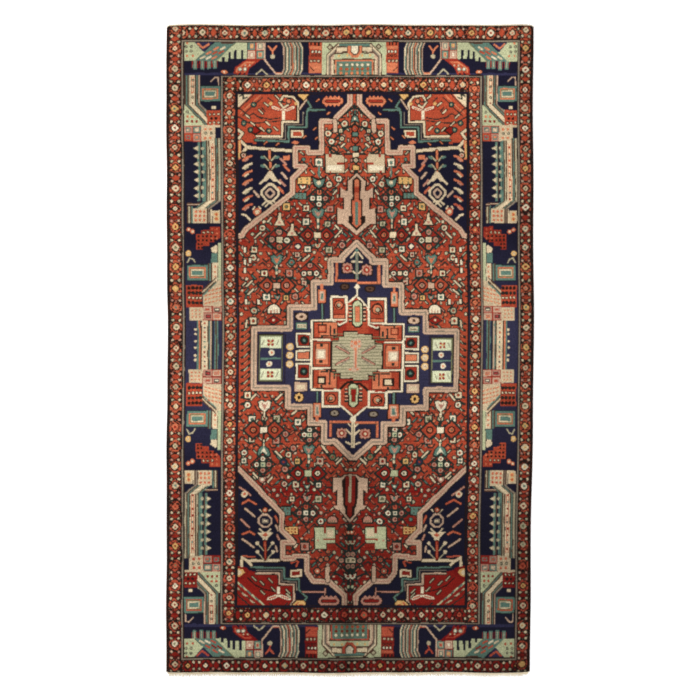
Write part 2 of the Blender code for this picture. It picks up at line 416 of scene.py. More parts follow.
# %% Lines between the bands
def frame_lines():
    """The grey and beige lines that part the bands."""
    for edges, width in ((1, 0.7), (2, 0.6)):
        left, right = SIDE_LINES["left"][edges], SIDE_LINES["right"][edges]
        top, bottom = END_LINES["top"][edges], END_LINES["bottom"][edges]
        for wool, reach in (("brown", width), ("stone", width * 0.4)):
            wavy = reach + 0.08 * drift_u
            near_x = (abs(x_cm - left) < wavy) | (abs(x_cm - right) < wavy)
            near_y = (abs(y_cm - top) < wavy) | (abs(y_cm - bottom) < wavy)
            between_y = (y_cm < top + wavy) & (y_cm > bottom - wavy)
            between_x = (x_cm > left - wavy) & (x_cm < right + wavy)
            design[(near_x & between_y) | (near_y & between_x)] = names.index(wool)
    left, right = SIDE_LINES["left"][3], SIDE_LINES["right"][3]
    top, bottom = END_LINES["top"][3], END_LINES["bottom"][3]
    for wool, reach in (("brown", 0.55), ("navy", 0.25)):
        near_x = (abs(x_cm - left) < reach) | (abs(x_cm - right) < reach)
        near_y = (abs(y_cm - top) < reach) | (abs(y_cm - bottom) < reach)
        between_y = (y_cm < top + reach) & (y_cm > bottom - reach)
        between_x = (x_cm > left - reach) & (x_cm < right + reach)
        design[(near_x | near_y) & between_x & between_y] = names.index(wool)
    edge = (abs(x_cm) > 73.9) | (abs(y_cm) > 132.2)
    design[edge] = names.index("brown")

# %% [markdown]
# ## The end borders
# Across each end the main border is navy, with a pale green corner, a teal band and comb, a slanted leaf,
# striped waves and a nested panel in the middle. All four quarters repeat it, mirrored. It could be drawn
# four times, but one drawing in the coordinates of the top left quarter is woven on all four grounds.


# %% Dots and checkers
def dotted(grounds, wool, radius, columns, heights, ring=None):
    for y in heights:
        for x in columns:
            if ring:
                weave(grounds, ring, disc(x, y, radius + 0.3))
            weave(grounds, wool, disc(x, y, radius))


def checker(grounds, left, right, low, high, cells):
    """Four squares, each with a frame and a spot. The cells give the ground, frame and spot of each."""
    middle_x, middle_y = (left + right) / 2, (low + high) / 2
    weave(grounds, "brick", block(left, right, low, high))
    corners = ((left, middle_y), (middle_x, middle_y), (left, low), (middle_x, low))
    wide, tall = (right - left) / 2, (high - low) / 2
    for (x, y), (base, frame, spot) in zip(corners, cells):
        weave(grounds, base, block(x + 0.25, x + wide - 0.15, y + 0.25, y + tall - 0.15))
        weave(grounds, frame, block(x + 0.9, x + wide - 0.8, y + 0.8, y + tall - 0.7))
        weave(grounds, spot, block(x + 1.25, x + wide - 1.1, y + 1.2, y + tall - 1.05))


print("end quarters", len(ends), "and side quarters", len(sides), "take dots and checkers")

# %% End border: its grounds
talim(ends, """
navy block -68.3 2.1 111 128
indigo block -68.3 2.1 111 113.2""")
knotted("end border: its grounds")

# %% Corner
talim(ends, """
green patch -68.3,127 -64.6,127 -59.5,121.5 -63.4,118 -68.3,118""")
dotted(ends, "sage", 0.3, (-66.8, -64.7), (122.0, 123.9), ring="forest")
dotted(ends, "salmon", 0.5, (-66.4,), (125.4, 120.1))
dotted(ends, "salmon", 0.5, (-64.0,), (120.1,))
talim(ends, """
indigo patch -64.4,127 -55,127 -59.8,121.7
salmon line 0.75 -62,125.1 -60,123.3 -57.6,124.9""")
knotted("corner")

# %% Teal band
talim(ends, """
teal patch -63.2,118 -59.6,121.4 -54.6,126.4 -45.6,126.6 -54.6,118
umber patch -53.8,126.6 -52.2,125 -47.6,125.2 -45.6,126.6""")
for x, y, wool in (
    (-54.6, 123.2, "salmon"), (-51.9, 123.3, "cream"), (-57.6, 121.3, "salmon"), (-55.1, 121.4, "rust"),
    (-52.6, 121.6, "rust"), (-60.1, 119.3, "cream"), (-57.6, 119.3, "ivory"), (-55.3, 119.3, "salmon")
):
    weave(ends, wool, line(0.75, (x - 0.8, y - 0.4), (x + 0.8, y + 0.5)))
for x, low in ((-63.2, 114.6), (-60.3, 114.4), (-57.5, 114.8), (-55.2, 114.9)):
    weave(ends, "madder", block(x - 1.15, x + 1.15, low + 0.6, 118))
    weave(ends, "teal", block(x - 0.8, x + 0.8, low, 118))
    weave(ends, "sage", block(x - 0.15, x + 0.2, low + 0.6, 118))
knotted("teal band")

# %% Comb
talim(ends, """
green patch -54.7,118 -46,126.3 -41.9,126.3 -41.9,119 -49.7,119 -49.7,118
olive line 0.25 -54.7,118 -46,126.3""")
for x, low, high in (
    (-51.6, 118, 119.7), (-48.9, 117.8, 122.0), (-46.6, 118.5, 122.7), (-43.9, 118.5, 122.8)
):
    weave(ends, "navy", block(x - 0.55, x + 0.55, low - 0.5, high))
knotted("comb")

# %% Small flower over the corner of the inner guard
talim(ends, """
brown disc -51.2,113.5 1.5 0.7
salmon disc -51.2,113.6 1.3 0.55
ivory disc -51.4,113.6 0.4""")
knotted("small flower over the corner of the inner guard")

# %% Checker
checker(
    ends, -41.8, -35.0, 118.8, 126.1,
    (
        ("teal", "pink", "gold"), ("outline", "teal", "cream"), ("outline", "pink", "ivory"),
        ("teal", "sage", "salmon")
    )
)
knotted("checker")

# %% Slanted leaf
talim(ends, """
brick patch -47.4,112.6 -46.8,115.6 -42,118.8 -36.4,118.8 -41,115 -41.8,112.6
salmon patch -46.6,113.4 -46.2,115.3 -42.4,117.9 -38.6,117.9 -41.8,115.4 -42.6,113.2
rust patch -46,113.2 -45.6,115 -42,117.4 -39.6,117.4 -42.4,115.2 -43.2,113.2""")
dotted(ends, "ivory", 0.55, (-44.8, -42.7), (114.8,), ring="teal")
dotted(ends, "straw", 0.35, (-42.5, -40.7), (116.3,))
talim(ends, """
navy line 0.6 -45.2,112.5 -44.6,113.3 line 0.6 -43.2,112.5 -42.8,113.2""")
knotted("slanted leaf")

# %% Line, chevron, flower block
talim(ends, """
outline line 0.65 -34.8,118.6 -30.2,112.9 -27.3,112.9 line 0.5 -34.6,126 -34.8,118.6
salmon line 0.4 -30,113.2 -27.4,113.2
sage line 0.6 -38.2,112.7 -36,114.7 -33.7,112.6
salmon line 0.7 -33.2,124.2 -31.6,122.3 -29.9,124.2 line 0.55 -31.6,122.3 -31.3,121
sage disc -31.5,120 0.95
straw disc -31.5,120 0.4""")
knotted("line, chevron, flower block")


# %% Wavy stripes
def stripes(wools, left, right, bulge):
    """Upright stripes of one width, which bulge to one side at both ends."""
    width = (right - left) / len(wools)
    for order, wool in enumerate(wools):
        for ground in ends:
            bend = bulge * np.clip(abs(ground.v - 119) / 4.6 - 0.95, 0, 0.6)
            start = left + order * width - bend
            across = (ground.u >= start) & (ground.u < start + width)
            test = across & ground.inside & (ground.v > 112.4) & (ground.v < 126)
            design[test] = names.index(wool)


stripes(
    (
        "outline", "umber", "teal", "cream", "umber", "teal", "outline", "umber", "salmon", "teal",
        "cream", "umber", "teal", "outline", "umber", "teal", "cream"
    ),
    -27.1, -19.2, 2.0
)
knotted("wavy stripes")

# %% Dotted panel
talim(ends, """
rust block -16.7 -11.4 113 126.1
salmon block -16.4 -11.7 113.2 117.2 block -16.4 -11.7 122.9 124.2
brown line 0.4 -16.2,115.6 -14.7,114.1""")
for x in (-15.9, -14.3, -12.8):
    weave(ends, "brown", block(x - 0.35, x + 0.35, 124.4, 126))
dotted(ends, "ivory", 0.42, (-15.3, -13.8, -12.4), (121.9,), ring="brown")
dotted(ends, "rust", 0.3, (-15.3, -13.8, -12.4), (120.4,), ring="brown")
dotted(ends, "straw", 0.42, (-15.8, -14.3, -12.7), (118.1,), ring="umber")
knotted("dotted panel")

# %% Centre panel
talim(ends, """
green block -11.4 2.1 112.2 126.2""")
nested = (
    ("umber", 0.0), ("cream", 0.45), ("stone", 1.0), ("umber", 1.5), ("outline", 1.9), ("cream", 2.6),
    ("umber", 3.2), ("green", 3.6)
)
for wool, inset in nested:
    left, top = -9.7 + inset, 125.4 - inset
    cut = 4.6 - 0.35 * inset
    weave(
        ends, wool, patch((left, 112.2), (left, top - cut), (left + cut, top), (2.2, top), (2.2, 112.2))
    )
talim(ends, """
teal block -4.4 2.1 123.9 125
umber block -6.4 2.1 121.1 121.7 block -6.8 2.1 118.4 119
cream block -5.4 -1.2 122.1 123.6
umber line 0.35 -5.6,121.9 -5.6,123.8 -1,123.8 -1,121.9
green block -6.2 2.1 119 121""")
dotted(ends, "gold", 0.5, (-4.5, -1.2), (120.3,))
talim(ends, """
salmon patch -0.9,124 -0.9,121.4 0.8,119.4 2.1,119.4 2.1,124
umber patch 0.2,124 0.2,121.8 1.3,120.4 2.1,120.4 2.1,124
ivory patch 0.6,124 0.6,122 1.5,121 2.1,121 2.1,124
salmon block -5.9 2.1 112.2 118.5
teal block -5.4 2.1 112.2 118""")
for y, wool in ((116.5, "ivory"), (114.8, "rust"), (113.1, "salmon")):
    dotted(ends, wool, 0.55, (-3.7, -1.3, 0.9), (y,), ring="olive")
talim(ends, """
umber diamond -8.2,123.9 1.45
sage diamond -8.2,123.9 0.8""")
knotted("centre panel")

# %% [markdown]
# ## The side borders
# Along the sides a striped band changes from edge to edge, round green blocks, checkers, saw teeth and
# dotted panels. The real band takes the opposite edge in three of the four quarters. Rather than a second
# drawing, those quarters get a ground whose band is turned over.


# %% Striped bands and nested blocks
def striped_band(grounds, left, low, high, wools, width=0.55):
    for order, wool in enumerate(wools):
        weave(grounds, wool, block(left + order * width, left + (order + 1) * width, low, high))


def nested_block(grounds, left, right, low, high):
    weave(grounds, "teal", block(left, right, low, high))
    for inset, wool in ((1.0, "salmon"), (1.5, "olive"), (1.9, "cream"), (2.35, "teal")):
        weave(grounds, wool, block(left + inset * 0.8, right - inset * 0.9, low + inset, high - inset))
    weave(
        grounds, "forest", line(0.35, (left, low), (right, low)), line(0.35, (left, high), (right, high))
    )


print("side quarters", len(sides), "take bands and blocks")

# %% Side border: its ground
talim(sides, """
navy block -69 -52 -2 112.2""")
knotted("side border: its ground")

# %% Next to the corner
striped_band(outer_sides, -67.4, 99.6, 112.2, ("umber", "teal", "umber", "sage"))
talim(outer_sides, """
cream block -65.2 -63.2 99.6 112.2
salmon block -64.9 -63.6 104.8 111.8
cream block -64.6 -63.9 105.4 111.4""")
dotted(outer_sides, "sage", 0.3, (-64.2,), (103.2, 107.6, 110.3), ring="brown")
dotted(outer_sides, "madder", 0.35, (-64.2,), (100.8,))
striped_band(outer_sides, -63.2, 99.6, 112.2, ("umber", "teal", "umber", "outline"), 0.5)
talim(outer_sides, """
outline line 0.5 -56.8,109.7 -55.1,111.4 -53.7,111.3 -53.5,108""")
nested_block(outer_sides, -61, -52.9, 101.4, 107.9)
talim(outer_sides, """
cream block -56.3 -54.7 98.5 99.7""")
knotted("next to the corner")

# %% The bend
talim(outer_sides, """
green block -68.2 -57.9 91.5 100
navy patch -60.9,99.7 -60.9,101.3 -52.5,101.3 -52.5,97.9 -58.4,97.9
cream block -56.3 -54.7 98.5 99.7""")
bends = (
    (-67.1, "umber"), (-66.5, "teal"), (-65.9, "umber"), (-65.2, "cream"), (-64.5, "cream"),
    (-63.8, "cream"), (-63.1, "umber"), (-62.5, "teal"), (-61.9, "umber"), (-61.3, "stone")
)
for x, wool in bends:
    weave(outer_sides, wool, line(0.62, (x, 100.2), (x + 8.2, 100.2 - 8.2)))
talim(outer_sides, """
rust block -58.3 -52.5 91.7 97.9""")
dotted(outer_sides, "cream", 0.35, (-57, -55.3, -53.6), (96.2, 92.8), ring="brown")
dotted(outer_sides, "brown", 0.6, (-56.4, -54.6), (94.5,))
dotted(outer_sides, "sage", 0.3, (-66.3,), (97.1,), ring="forest")
dotted(outer_sides, "salmon", 0.55, (-66.2, -64.3), (95.3,))
dotted(outer_sides, "madder", 0.55, (-66.4, -64.4, -62.5), (93.4,))
knotted("the bend")

# %% Checker and dotted green
talim(outer_sides, """
straw block -68.2 -52.6 90.9 91.8""")
checker(
    outer_sides, -67.9, -60.6, 85.1, 91.5,
    (
        ("pink", "teal", "outline"), ("teal", "outline", "cream"), ("rust", "teal", "rose"),
        ("pink", "teal", "salmon")
    )
)
talim(outer_sides, """
straw block -60.6 -54.8 85.2 91.9""")
dotted(outer_sides, "salmon", 0.6, (-59, -56.8), (90.1, 86.5))
dotted(outer_sides, "sage", 0.3, (-58.7, -56.5), (88.4,), ring="forest")
knotted("checker and dotted green")

# %% Long stretch with saw teeth and a striped band
striped_band(outer_sides, -59.3, 58, 85.4, ("teal", "umber", "sage", "umber"), 0.52)
talim(outer_sides, """
cream block -57.2 -55.2 58 85.2
salmon block -56.8 -55.6 60 84.2
cream block -56.5 -55.9 60 84.2""")
for count in range(9):
    weave(outer_sides, ("madder", "teal", "rust")[count % 3], disc(-56.2, 82.6 - 2.65 * count, 0.42))
striped_band(outer_sides, -55.2, 58, 86.4, ("umber", "teal", "umber", "sage", "stone"), 0.5)
talim(outer_sides, """
teal block -62.2 -61.3 60.6 85
umber block -61.3 -60.9 60.6 85
teal block -60.2 -59.4 60.6 85""")
for count in range(7):
    y = 82.3 - 3.25 * count
    weave(outer_sides, "sage", patch((-61.8, y + 1.1), (-64.0, y), (-61.8, y - 1.1)))
    weave(outer_sides, "cream", disc(-62.8, y, 0.5))
    weave(outer_sides, "sage", disc(-60.2, y, 0.65))
knotted("long stretch with saw teeth and a striped band")

# %% The band bends into a green block
talim(outer_sides, """
navy block -68.2 -52.6 57 60.4
umber block -66.6 -58 58.9 59.9
outline block -66.6 -60 59.2 59.5""")
for x, wool in (
    (-59.1, "teal"), (-58.5, "umber"), (-57.9, "sage"), (-57.2, "cream"), (-56.6, "cream"),
    (-55.9, "cream"), (-55.2, "umber"), (-54.7, "teal"), (-54.1, "umber"), (-53.5, "stone")
):
    weave(outer_sides, wool, line(0.6, (x, 60.6), (x - 4.2, 57.4), (x - 4.2, 55.5)))
talim(outer_sides, """
navy patch -56.8,57.2 -52.5,60.2 -52.5,56.8 -56.8,56.8""")
striped_band(outer_sides, -66.5, 51.6, 58.6, ("umber", "sage", "umber", "teal"), 0.55)
talim(outer_sides, """
straw block -64.2 -58.5 51.7 57.6""")
dotted(outer_sides, "salmon", 0.55, (-63, -61.3, -59.6), (56.4, 54.6, 52.9))
striped_band(outer_sides, -58.5, 51.7, 57.2, ("umber", "stone", "umber", "cream"), 0.52)
talim(outer_sides, """
straw block -56.3 -53 51.8 56.8""")
dotted(outer_sides, "salmon", 0.6, (-54.6,), (55.2, 53.3), ring="gold")
knotted("the band bends into a green block")

# %% Jagged dotted shape
jagged = (
    (-53, 50.2), (-57.3, 50.2), (-57.3, 48.8), (-60.8, 48.8), (-60.8, 47), (-62.9, 47), (-62.9, 40.8),
    (-60.2, 40.8), (-60.2, 42.3), (-57.6, 42.3), (-57.6, 43.9), (-55.4, 43.9), (-53, 46)
)
weave(sides, "rust", patch(*jagged))
dotted(sides, "salmon", 0.4, (-56.4, -54.4), (49.2, 47.4, 45.4))
dotted(sides, "brown", 0.5, (-61.9, -60.2, -58.5, -56.8, -55.1), (46.2, 44.6))
dotted(sides, "straw", 0.35, (-59.8, -58.1, -56.3), (47.8,), ring="brown")
dotted(sides, "brown", 0.45, (-62, -60.6), (43.0, 41.6))
talim(sides, """
salmon disc -66,48.9 0.85 disc -64.4,48.1 0.95
cream disc -64.4,48.1 0.5 disc -66,48.9 0.4
gold disc -66.1,39.2 1.2
straw disc -66.1,39.2 0.55
cream patch -57,41.4 -55,42.6 -54.2,42.2 -54.6,39.4 -56.6,39.6
sage line 0.5 -66.6,35.6 -65.6,37.2 -64.3,36.8 -63.4,35.4
teal block -56.9 -54.2 35.4 39.4
green block -54.1 -52.4 2 43.6
umber block -54.3 -54 30 42.4""")
knotted("jagged dotted shape")

# %% Nested block and dotted core
nested_block(sides, -66.7, -58.2, 28, 34.5)
striped_band(sides, -58.2, 28, 35, ("umber", "teal", "umber"), 0.6)
talim(sides, """
cream block -56.3 -54.2 27.6 35.2""")
dotted(sides, "salmon", 0.4, (-55.2,), (33.8, 31.7, 29.8))
dotted(sides, "teal", 0.35, (-55.2,), (28.5,))
knotted("nested block and dotted core")

# %% Slanted green and the dotted orange panel
talim(sides, """
straw patch -60.3,22.6 -54.6,28 -52.4,28.2 -52.4,11.8 -60.3,11.8""")
for shift, wool in ((0.0, "umber"), (0.7, "straw"), (1.4, "umber"), (-0.7, "teal")):
    weave(sides, wool, line(0.5, (-60.6, 22.5 + shift), (-54.9, 27.8 + shift)))
for count in range(4):
    for place in range(5):
        x, y = -59.4 + 1.45 * place, 18.6 + 1.6 * count + 0.35 * place
        if y < 22.6 + 0.9 * (x + 60.3) - 0.8:
            weave(sides, "salmon", line(0.55, (x, y), (x + 0.6, y + 0.4)))
talim(sides, """
rust block -67.2 -60.5 17.2 26.2""")
for count, y in enumerate((25, 23, 21, 19)):
    dotted(
        sides, ("brown", "forest", "cream", "forest")[count], 0.42, (-66, -64.4, -62.8, -61.3), (y,),
        ring="brown"
    )
knotted("slanted green and the dotted orange panel")

# %% Green and checker beside the middle
talim(sides, """
navy block -68.2 -66.1 11.7 17.2
straw block -66.1 -60.5 11.8 17.1""")
dotted(sides, "salmon", 0.35, (-64.9, -63.4, -61.9), (15.8, 14.4, 13))
checker(
    sides, -60.5, -52.8, 11.8, 17.6,
    (
        ("outline", "pink", "rust"), ("pink", "forest", "ivory"), ("pink", "forest", "rose"),
        ("outline", "salmon", "pink")
    )
)
knotted("green and checker beside the middle")

# %% Middle stripes
striped_band(sides, -62.9, -2, 11.8, ("teal", "salmon", "umber"), 0.62)
talim(sides, """
cream block -61 -58.6 -2 11.8""")
for count, wool in enumerate(("rust", "navy", "rust", "madder", "teal", "rust", "navy")):
    weave(sides, wool, disc(-59.8, 10.6 - 1.9 * count, 0.42))
striped_band(
    sides, -58.6, -2, 11.8, ("umber", "teal", "outline", "forest", "indigo", "teal", "umber", "teal"),
    0.55
)
talim(sides, """
navy block -54.2 -52.4 -2 11.8
cream disc -63.5,8 0.6 disc -63.6,6.2 0.5 disc -63.6,3.2 0.5""")
knotted("middle stripes")

# %% The lines over both borders
frame_lines()
knotted("lines between the bands")

# %% [markdown]
# ## The field
# The field is a red ground with stepped navy corners, filled with small flowers, hearts and lozenges. The
# figures of one kind differ in size and wool. Each kind is drawn by one function that takes its place, its
# size and its wools, which keeps them alike and still leaves every one of them its own.

# %% The field's ground and its corners
field = [Ground(u_mirror, y_cm, in_field)]

TOP_CORNER = (
    (0.1, 106.5), (0.1, 100.3), (-5.6, 94.6), (-5.9, 93.4), (-11.5, 93.4), (-11.5, 80.5), (-17.0, 80.5),
    (-17.0, 82.6), (-22.3, 82.6), (-22.3, 75), (-18.4, 75), (-23.6, 70), (-23.6, 64), (-42.6, 49.2),
    (-44.2, 46.5), (-47, 46)
)
BOTTOM_CORNER = (
    (-1.6, -107), (-1.6, -101), (-8, -95.5), (-14.6, -95.2), (-17.2, -91.7), (-17.2, -84.9),
    (-22.4, -84.9), (-22.4, -85.8), (-27.2, -85.8), (-27.2, -79.3), (-22.6, -79.3), (-27.6, -74.2),
    (-27.6, -67.6), (-44.5, -50), (-47, -48)
)
weave(field, "rust", block(-47, 5, -107, 107))
knotted("red ground")


# %% Lines, sprigs and small flowers
def outlined(grounds, width, wool, *paths, edge="brown", rim=0.7):
    """A line of one wool with a dark edge on both sides."""
    for path in paths:
        weave(grounds, edge, line(width + rim, *path))
    for path in paths:
        weave(grounds, wool, line(width, *path))


def sprig(grounds, x, y, run, rise, wool, width=0.6):
    outlined(grounds, width, wool, ((x, y), (x + run, y + rise)), edge="brown", rim=0.75)


def small_square(grounds, x, y, half, wool, heart="rust"):
    weave(grounds, "forest", block(x - half - 0.55, x + half + 0.55, y - half - 0.5, y + half + 0.5))
    weave(grounds, wool, block(x - half, x + half, y - half, y + half))
    if half > 0.8:
        weave(grounds, "brown", disc(x, y, half * 0.55))
    weave(grounds, heart, disc(x, y, half * 0.4))


def rosette(grounds, x, y, radius, wool, heart="rust", edge="forest"):
    weave(grounds, edge, disc(x, y, radius + 0.6))
    weave(grounds, wool, disc(x, y, radius))
    weave(grounds, edge, diamond(x, y, radius * 0.62))
    weave(grounds, heart, diamond(x, y, radius * 0.5))


print("wools in the field so far", len(np.unique(design[in_field])))


# %% Lozenges and groups of four
def twin_lozenges(x_left, x_right, y, between="cream", flower="salmon", ground="brick"):
    """Two dark diamonds, each round one flower, joined by a small block."""
    half = (x_right - x_left) / 2 - 0.35
    for x in (x_left, x_right):
        weave(field, "forest", diamond(x, y, half + 0.75, half + 0.45))
        weave(field, ground, diamond(x, y, half - 0.45, half - 0.65))
        rosette(field, x, y, 0.95, flower, "olive", edge="brown")
    middle = (x_left + x_right) / 2
    weave(field, "forest", line(0.8, (middle, y - half), (middle, y + half)))
    weave(field, "brown", block(middle - 1.75, middle + 1.75, y - 1.55, y + 1.55))
    weave(field, between, block(middle - 1.35, middle + 1.35, y - 1.1, y + 1.1))


def four_flowers(x, y, reach, middle="ivory", petals=("ivory", "pink", "salmon")):
    """Four flowers round a small square, in a dark frame with pointed ends."""
    weave(field, "forest", diamond(x, y, reach + 3.1, reach + 2.8))
    weave(field, "brick", diamond(x, y, reach + 2.1, reach + 1.9))
    weave(
        field, "forest", line(0.7, (x - reach, y - reach), (x + reach, y + reach)),
        line(0.7, (x - reach, y + reach), (x + reach, y - reach))
    )
    for count, (dx, dy) in enumerate(((-1, 0), (1, 0), (0, 1), (0, -1))):
        rosette(field, x + dx * reach, y + dy * reach * 0.95, 0.95, petals[count % len(petals)], "rust")
    small_square(field, x, y, 0.85, middle, "teal")


print("grounds that each figure is woven on", len(field))


# %% Hearts, domes and palmettes
def heart(x, y, size, wool="teal", vein="salmon", way=1, stem=4.0):
    """A heart with a pointed foot and a striped stem. It stands on its head where way is minus one."""
    points = [
        (-1.0, 0.55), (-0.5, 0.85), (0, 0.5), (0.5, 0.85), (1.0, 0.55), (0.75, -0.35), (0, -1.0),
        (-0.75, -0.35)
    ]
    weave(
        field, "forest", patch(*[(x + px * size * 1.25, y + way * py * size * 1.22) for px, py in points])
    )
    weave(field, "brown", line(1.5, (x, y), (x, y - way * (size + stem))))
    weave(field, wool, patch(*[(x + px * size, y + way * py * size) for px, py in points]))
    weave(field, "cream", line(0.75, (x, y - way * size), (x, y - way * (size + stem))))
    weave(
        field, wool,
        block(x - 0.4, x + 0.4, *sorted((y - way * (size + stem * 0.35), y - way * (size + stem * 0.65))))
    )
    for shift in (-0.45, 0.45):
        weave(
            field, vein, line(0.45, (x + shift * size, y + way * 0.35 * size), (x, y - way * 0.5 * size))
        )
    weave(field, vein, disc(x, y, size * 0.24))


def dome(x, y, size, wool="ivory", tooth="rust", way=1):
    """A half round flower on a dark foot, with small teeth."""
    weave(field, "brown", disc(x, y, size + 0.55))
    weave(field, wool, disc(x, y, size))
    low, high = sorted((y - way * size * 1.6, y - way * size * 0.35))
    weave(field, "rust", block(x - size - 0.6, x + size + 0.6, low, high))
    weave(
        field, "forest",
        block(x - size - 0.4, x + size + 0.4, *sorted((y - way * size * 0.62, y - way * size * 0.35)))
    )
    for dx in (-0.5, 0, 0.5):
        weave(
            field, tooth,
            line(0.35, (x + dx * size, y - way * size * 0.3), (x + dx * size, y + way * size * 0.1))
        )


def palmette(grounds, x, y, size, wool="teal", heart="cream", way=1):
    """An open flower on a short stem. It points down where way is minus one."""
    weave(grounds, "forest", line(0.7, (x, y), (x, y - way * size * 1.7)))
    weave(
        grounds, "brown",
        patch(
            (x - size * 1.3, y + way * size * 1.0), (x, y + way * size * 0.5),
            (x + size * 1.3, y + way * size * 1.0), (x + size * 0.9, y - way * size * 0.7),
            (x, y - way * size * 1.35), (x - size * 0.9, y - way * size * 0.7)
        )
    )
    weave(
        grounds, wool,
        patch(
            (x - size, y + way * size * 0.6), (x, y + way * size * 0.1), (x + size, y + way * size * 0.6),
            (x + size * 0.65, y - way * size * 0.5), (x, y - way * size),
            (x - size * 0.65, y - way * size * 0.5)
        )
    )
    weave(grounds, heart, disc(x, y - way * size * 0.15, size * 0.35))


def squares(*places):
    wools = ("cream", "ivory", "sage", "cream", "pink", "ivory", "gold", "outline")
    hearts = ("rust", "teal", "olive", "madder")
    for count, (x, y, half) in enumerate(places):
        small_square(field, x, y, half, wools[count % 8], hearts[count % 4])


print("flowers with a stem stand either way up")

# %% [markdown]
# ## The scattered figures
# Between the large figures the red is full of strokes, hooks and buds. They follow no plan on the real
# rug, so they are dropped on a loose grid, with a seeded draw for place, kind and wool. The large figures
# are woven over them afterwards.


# %% The scattered figures
def scattered():
    """Little squares, strokes, hooks and buds over most of the red, the same on both halves."""
    numbers = np.random.default_rng(77)
    wools = ("outline", "straw", "salmon", "teal", "outline", "sage", "pink", "cream")
    for count, y in enumerate(np.arange(-106, 106, 2.55)):
        for x in np.arange(-46 + 1.35 * (count % 2), 4, 2.75):
            px, py = x + numbers.uniform(-0.6, 0.6), y + numbers.uniform(-0.5, 0.5)
            kind, wool = numbers.random(), wools[numbers.integers(len(wools))]
            turn = numbers.choice([-1, 1])
            if px < -39 and -26 < py < 14:
                continue
            if kind < 0.34:
                weave(
                    field, "forest", line(1.15, (px - 0.8, py - turn * 0.8), (px + 0.8, py + turn * 0.8))
                )
                weave(field, wool, line(0.45, (px - 0.5, py - turn * 0.5), (px + 0.5, py + turn * 0.5)))
            elif kind < 0.55:
                weave(
                    field, "forest",
                    line(
                        0.6, (px - 1.1, py - turn), (px - 0.2, py + turn * 0.6),
                        (px + 1.1, py + turn * 0.6)
                    )
                )
                weave(field, wool, disc(px + 0.1, py - turn * 0.3, 0.4))
            elif kind < 0.72:
                weave(field, "forest", disc(px, py, 0.95))
                weave(field, wool, disc(px, py, 0.6))
            elif kind < 0.86:
                weave(field, "forest", line(0.6, (px - 1.2, py), (px, py + turn * 1.2), (px + 1.2, py)))
                weave(field, "salmon", disc(px, py - turn * 0.2, 0.35))
            else:
                weave(field, "forest", block(px - 0.5, px + 0.5, py - 1.0, py + 1.0))
                weave(field, wool, block(px - 0.2, px + 0.2, py - 0.6, py + 0.6))
    for count, y in enumerate(np.arange(-25.4, 12, 2.75)):
        weave(field, "forest", line(1.1, (-44.6, y), (-43.2, y + 0.5), (-41.4, y + 2.4)))
        weave(field, ("sage", "salmon")[count % 2], line(0.4, (-43.6, y + 0.1), (-42.2, y + 1.5)))


scattered()
knotted("scattered figures")

# %% [markdown]
# ## The large figures of the red
# The weaver repeats the same plants on both halves: hearts on stems, pairs of lozenges, groups of four
# flowers, and a column of blooms up the middle line. They are placed one by one, half by half, and the
# mirrored ground weaves the other side.

# %% Close to the medallion and the left edge
squares(
    (-39.3, 40.7, 1.1), (-17.3, 41, 1.1), (-8.7, 40.7, 1.15), (-35.1, 31, 1.1), (-25, 31, 1.25),
    (-34.3, 21.3, 1.3), (-26.4, 21, 0.9), (-19, 27.2, 0.9), (-40, 11.5, 1.25), (-18.1, 52.1, 1.2),
    (-9, 51.3, 1.0), (-18, 57.7, 1.1), (-8, 57.3, 1.1), (-12.8, 76.5, 1.4), (-26, 58.4, 1.3),
    (-21.7, 38.7, 0.9)
)
for x, y, wool in (
    (-39.5, 37.5, "cream"), (-24, 35.5, "teal"), (-22.7, 21.5, "pink"), (-39.5, 15.7, "sage"),
    (-35.8, 49.7, "cream"), (-3.2, 42.5, "pink"), (-19.3, 67, "ivory"), (-8.5, 67.5, "cream"),
    (-4.7, 69.7, "ivory"), (-7.5, 85, "ivory"), (-8.7, 88.3, "cream"), (-2, 92.3, "cream"),
    (-6.3, 81.7, "salmon")
):
    rosette(field, x, y, 1.15, wool, "rust")
twin_lozenges(-17.2, -9.5, 46.7)
twin_lozenges(-34.1, -26.1, 26.1, "outline", "pink", "rust")
talim(field, """
forest diamond -28.9,45 6.6 5.9
brick diamond -28.9,45 5.5 4.9""")
for x, y, wool in ((-29, 48, "pink"), (-32, 44.8, "pink"), (-25.9, 44.6, "ivory"), (-29, 41.9, "salmon")):
    rosette(field, x, y, 1.1, wool, "olive")
talim(field, """
brown block -30.5 -27.3 43.3 46.3
cream block -30.1 -27.7 43.7 45.9
sage block -29.6 -28.2 44.2 45.4
forest diamond -16.5,32 5 4.7
brick diamond -16.5,32 4.2 3.9""")
for x, y, wool in ((-16.5, 34.3, "pink"), (-19, 31, "ivory"), (-13.8, 31, "ivory")):
    rosette(field, x, y, 0.95, wool, "madder")
small_square(field, -16.5, 31, 0.75, "cream")
heart(-30.1, 36.6, 2.4, stem=3.6)
heart(-13, 55.6, 2.5, vein="pink", stem=3.4)
palmette(field, -30, 21.4, 1.3, "teal", "pink")
palmette(field, -13.3, 42.6, 1.3, "sage", "salmon")
talim(field, """
rust disc -21.3,42.1 2.3
navy disc -21.3,42.1 1.5
ivory diamond -21.3,42.1 1.1
forest line 0.8 -30,30.4 -30,27.6 line 0.8 -32.6,29.6 -30,28.4 -27.4,29.6""")
dome(-31.5, 15.6, 2.5)
talim(field, """
forest diamond -31.7,11.7 3.4 2.2
madder diamond -31.7,11.7 2.6 1.5
cream disc -31.7,11.8 0.5""")
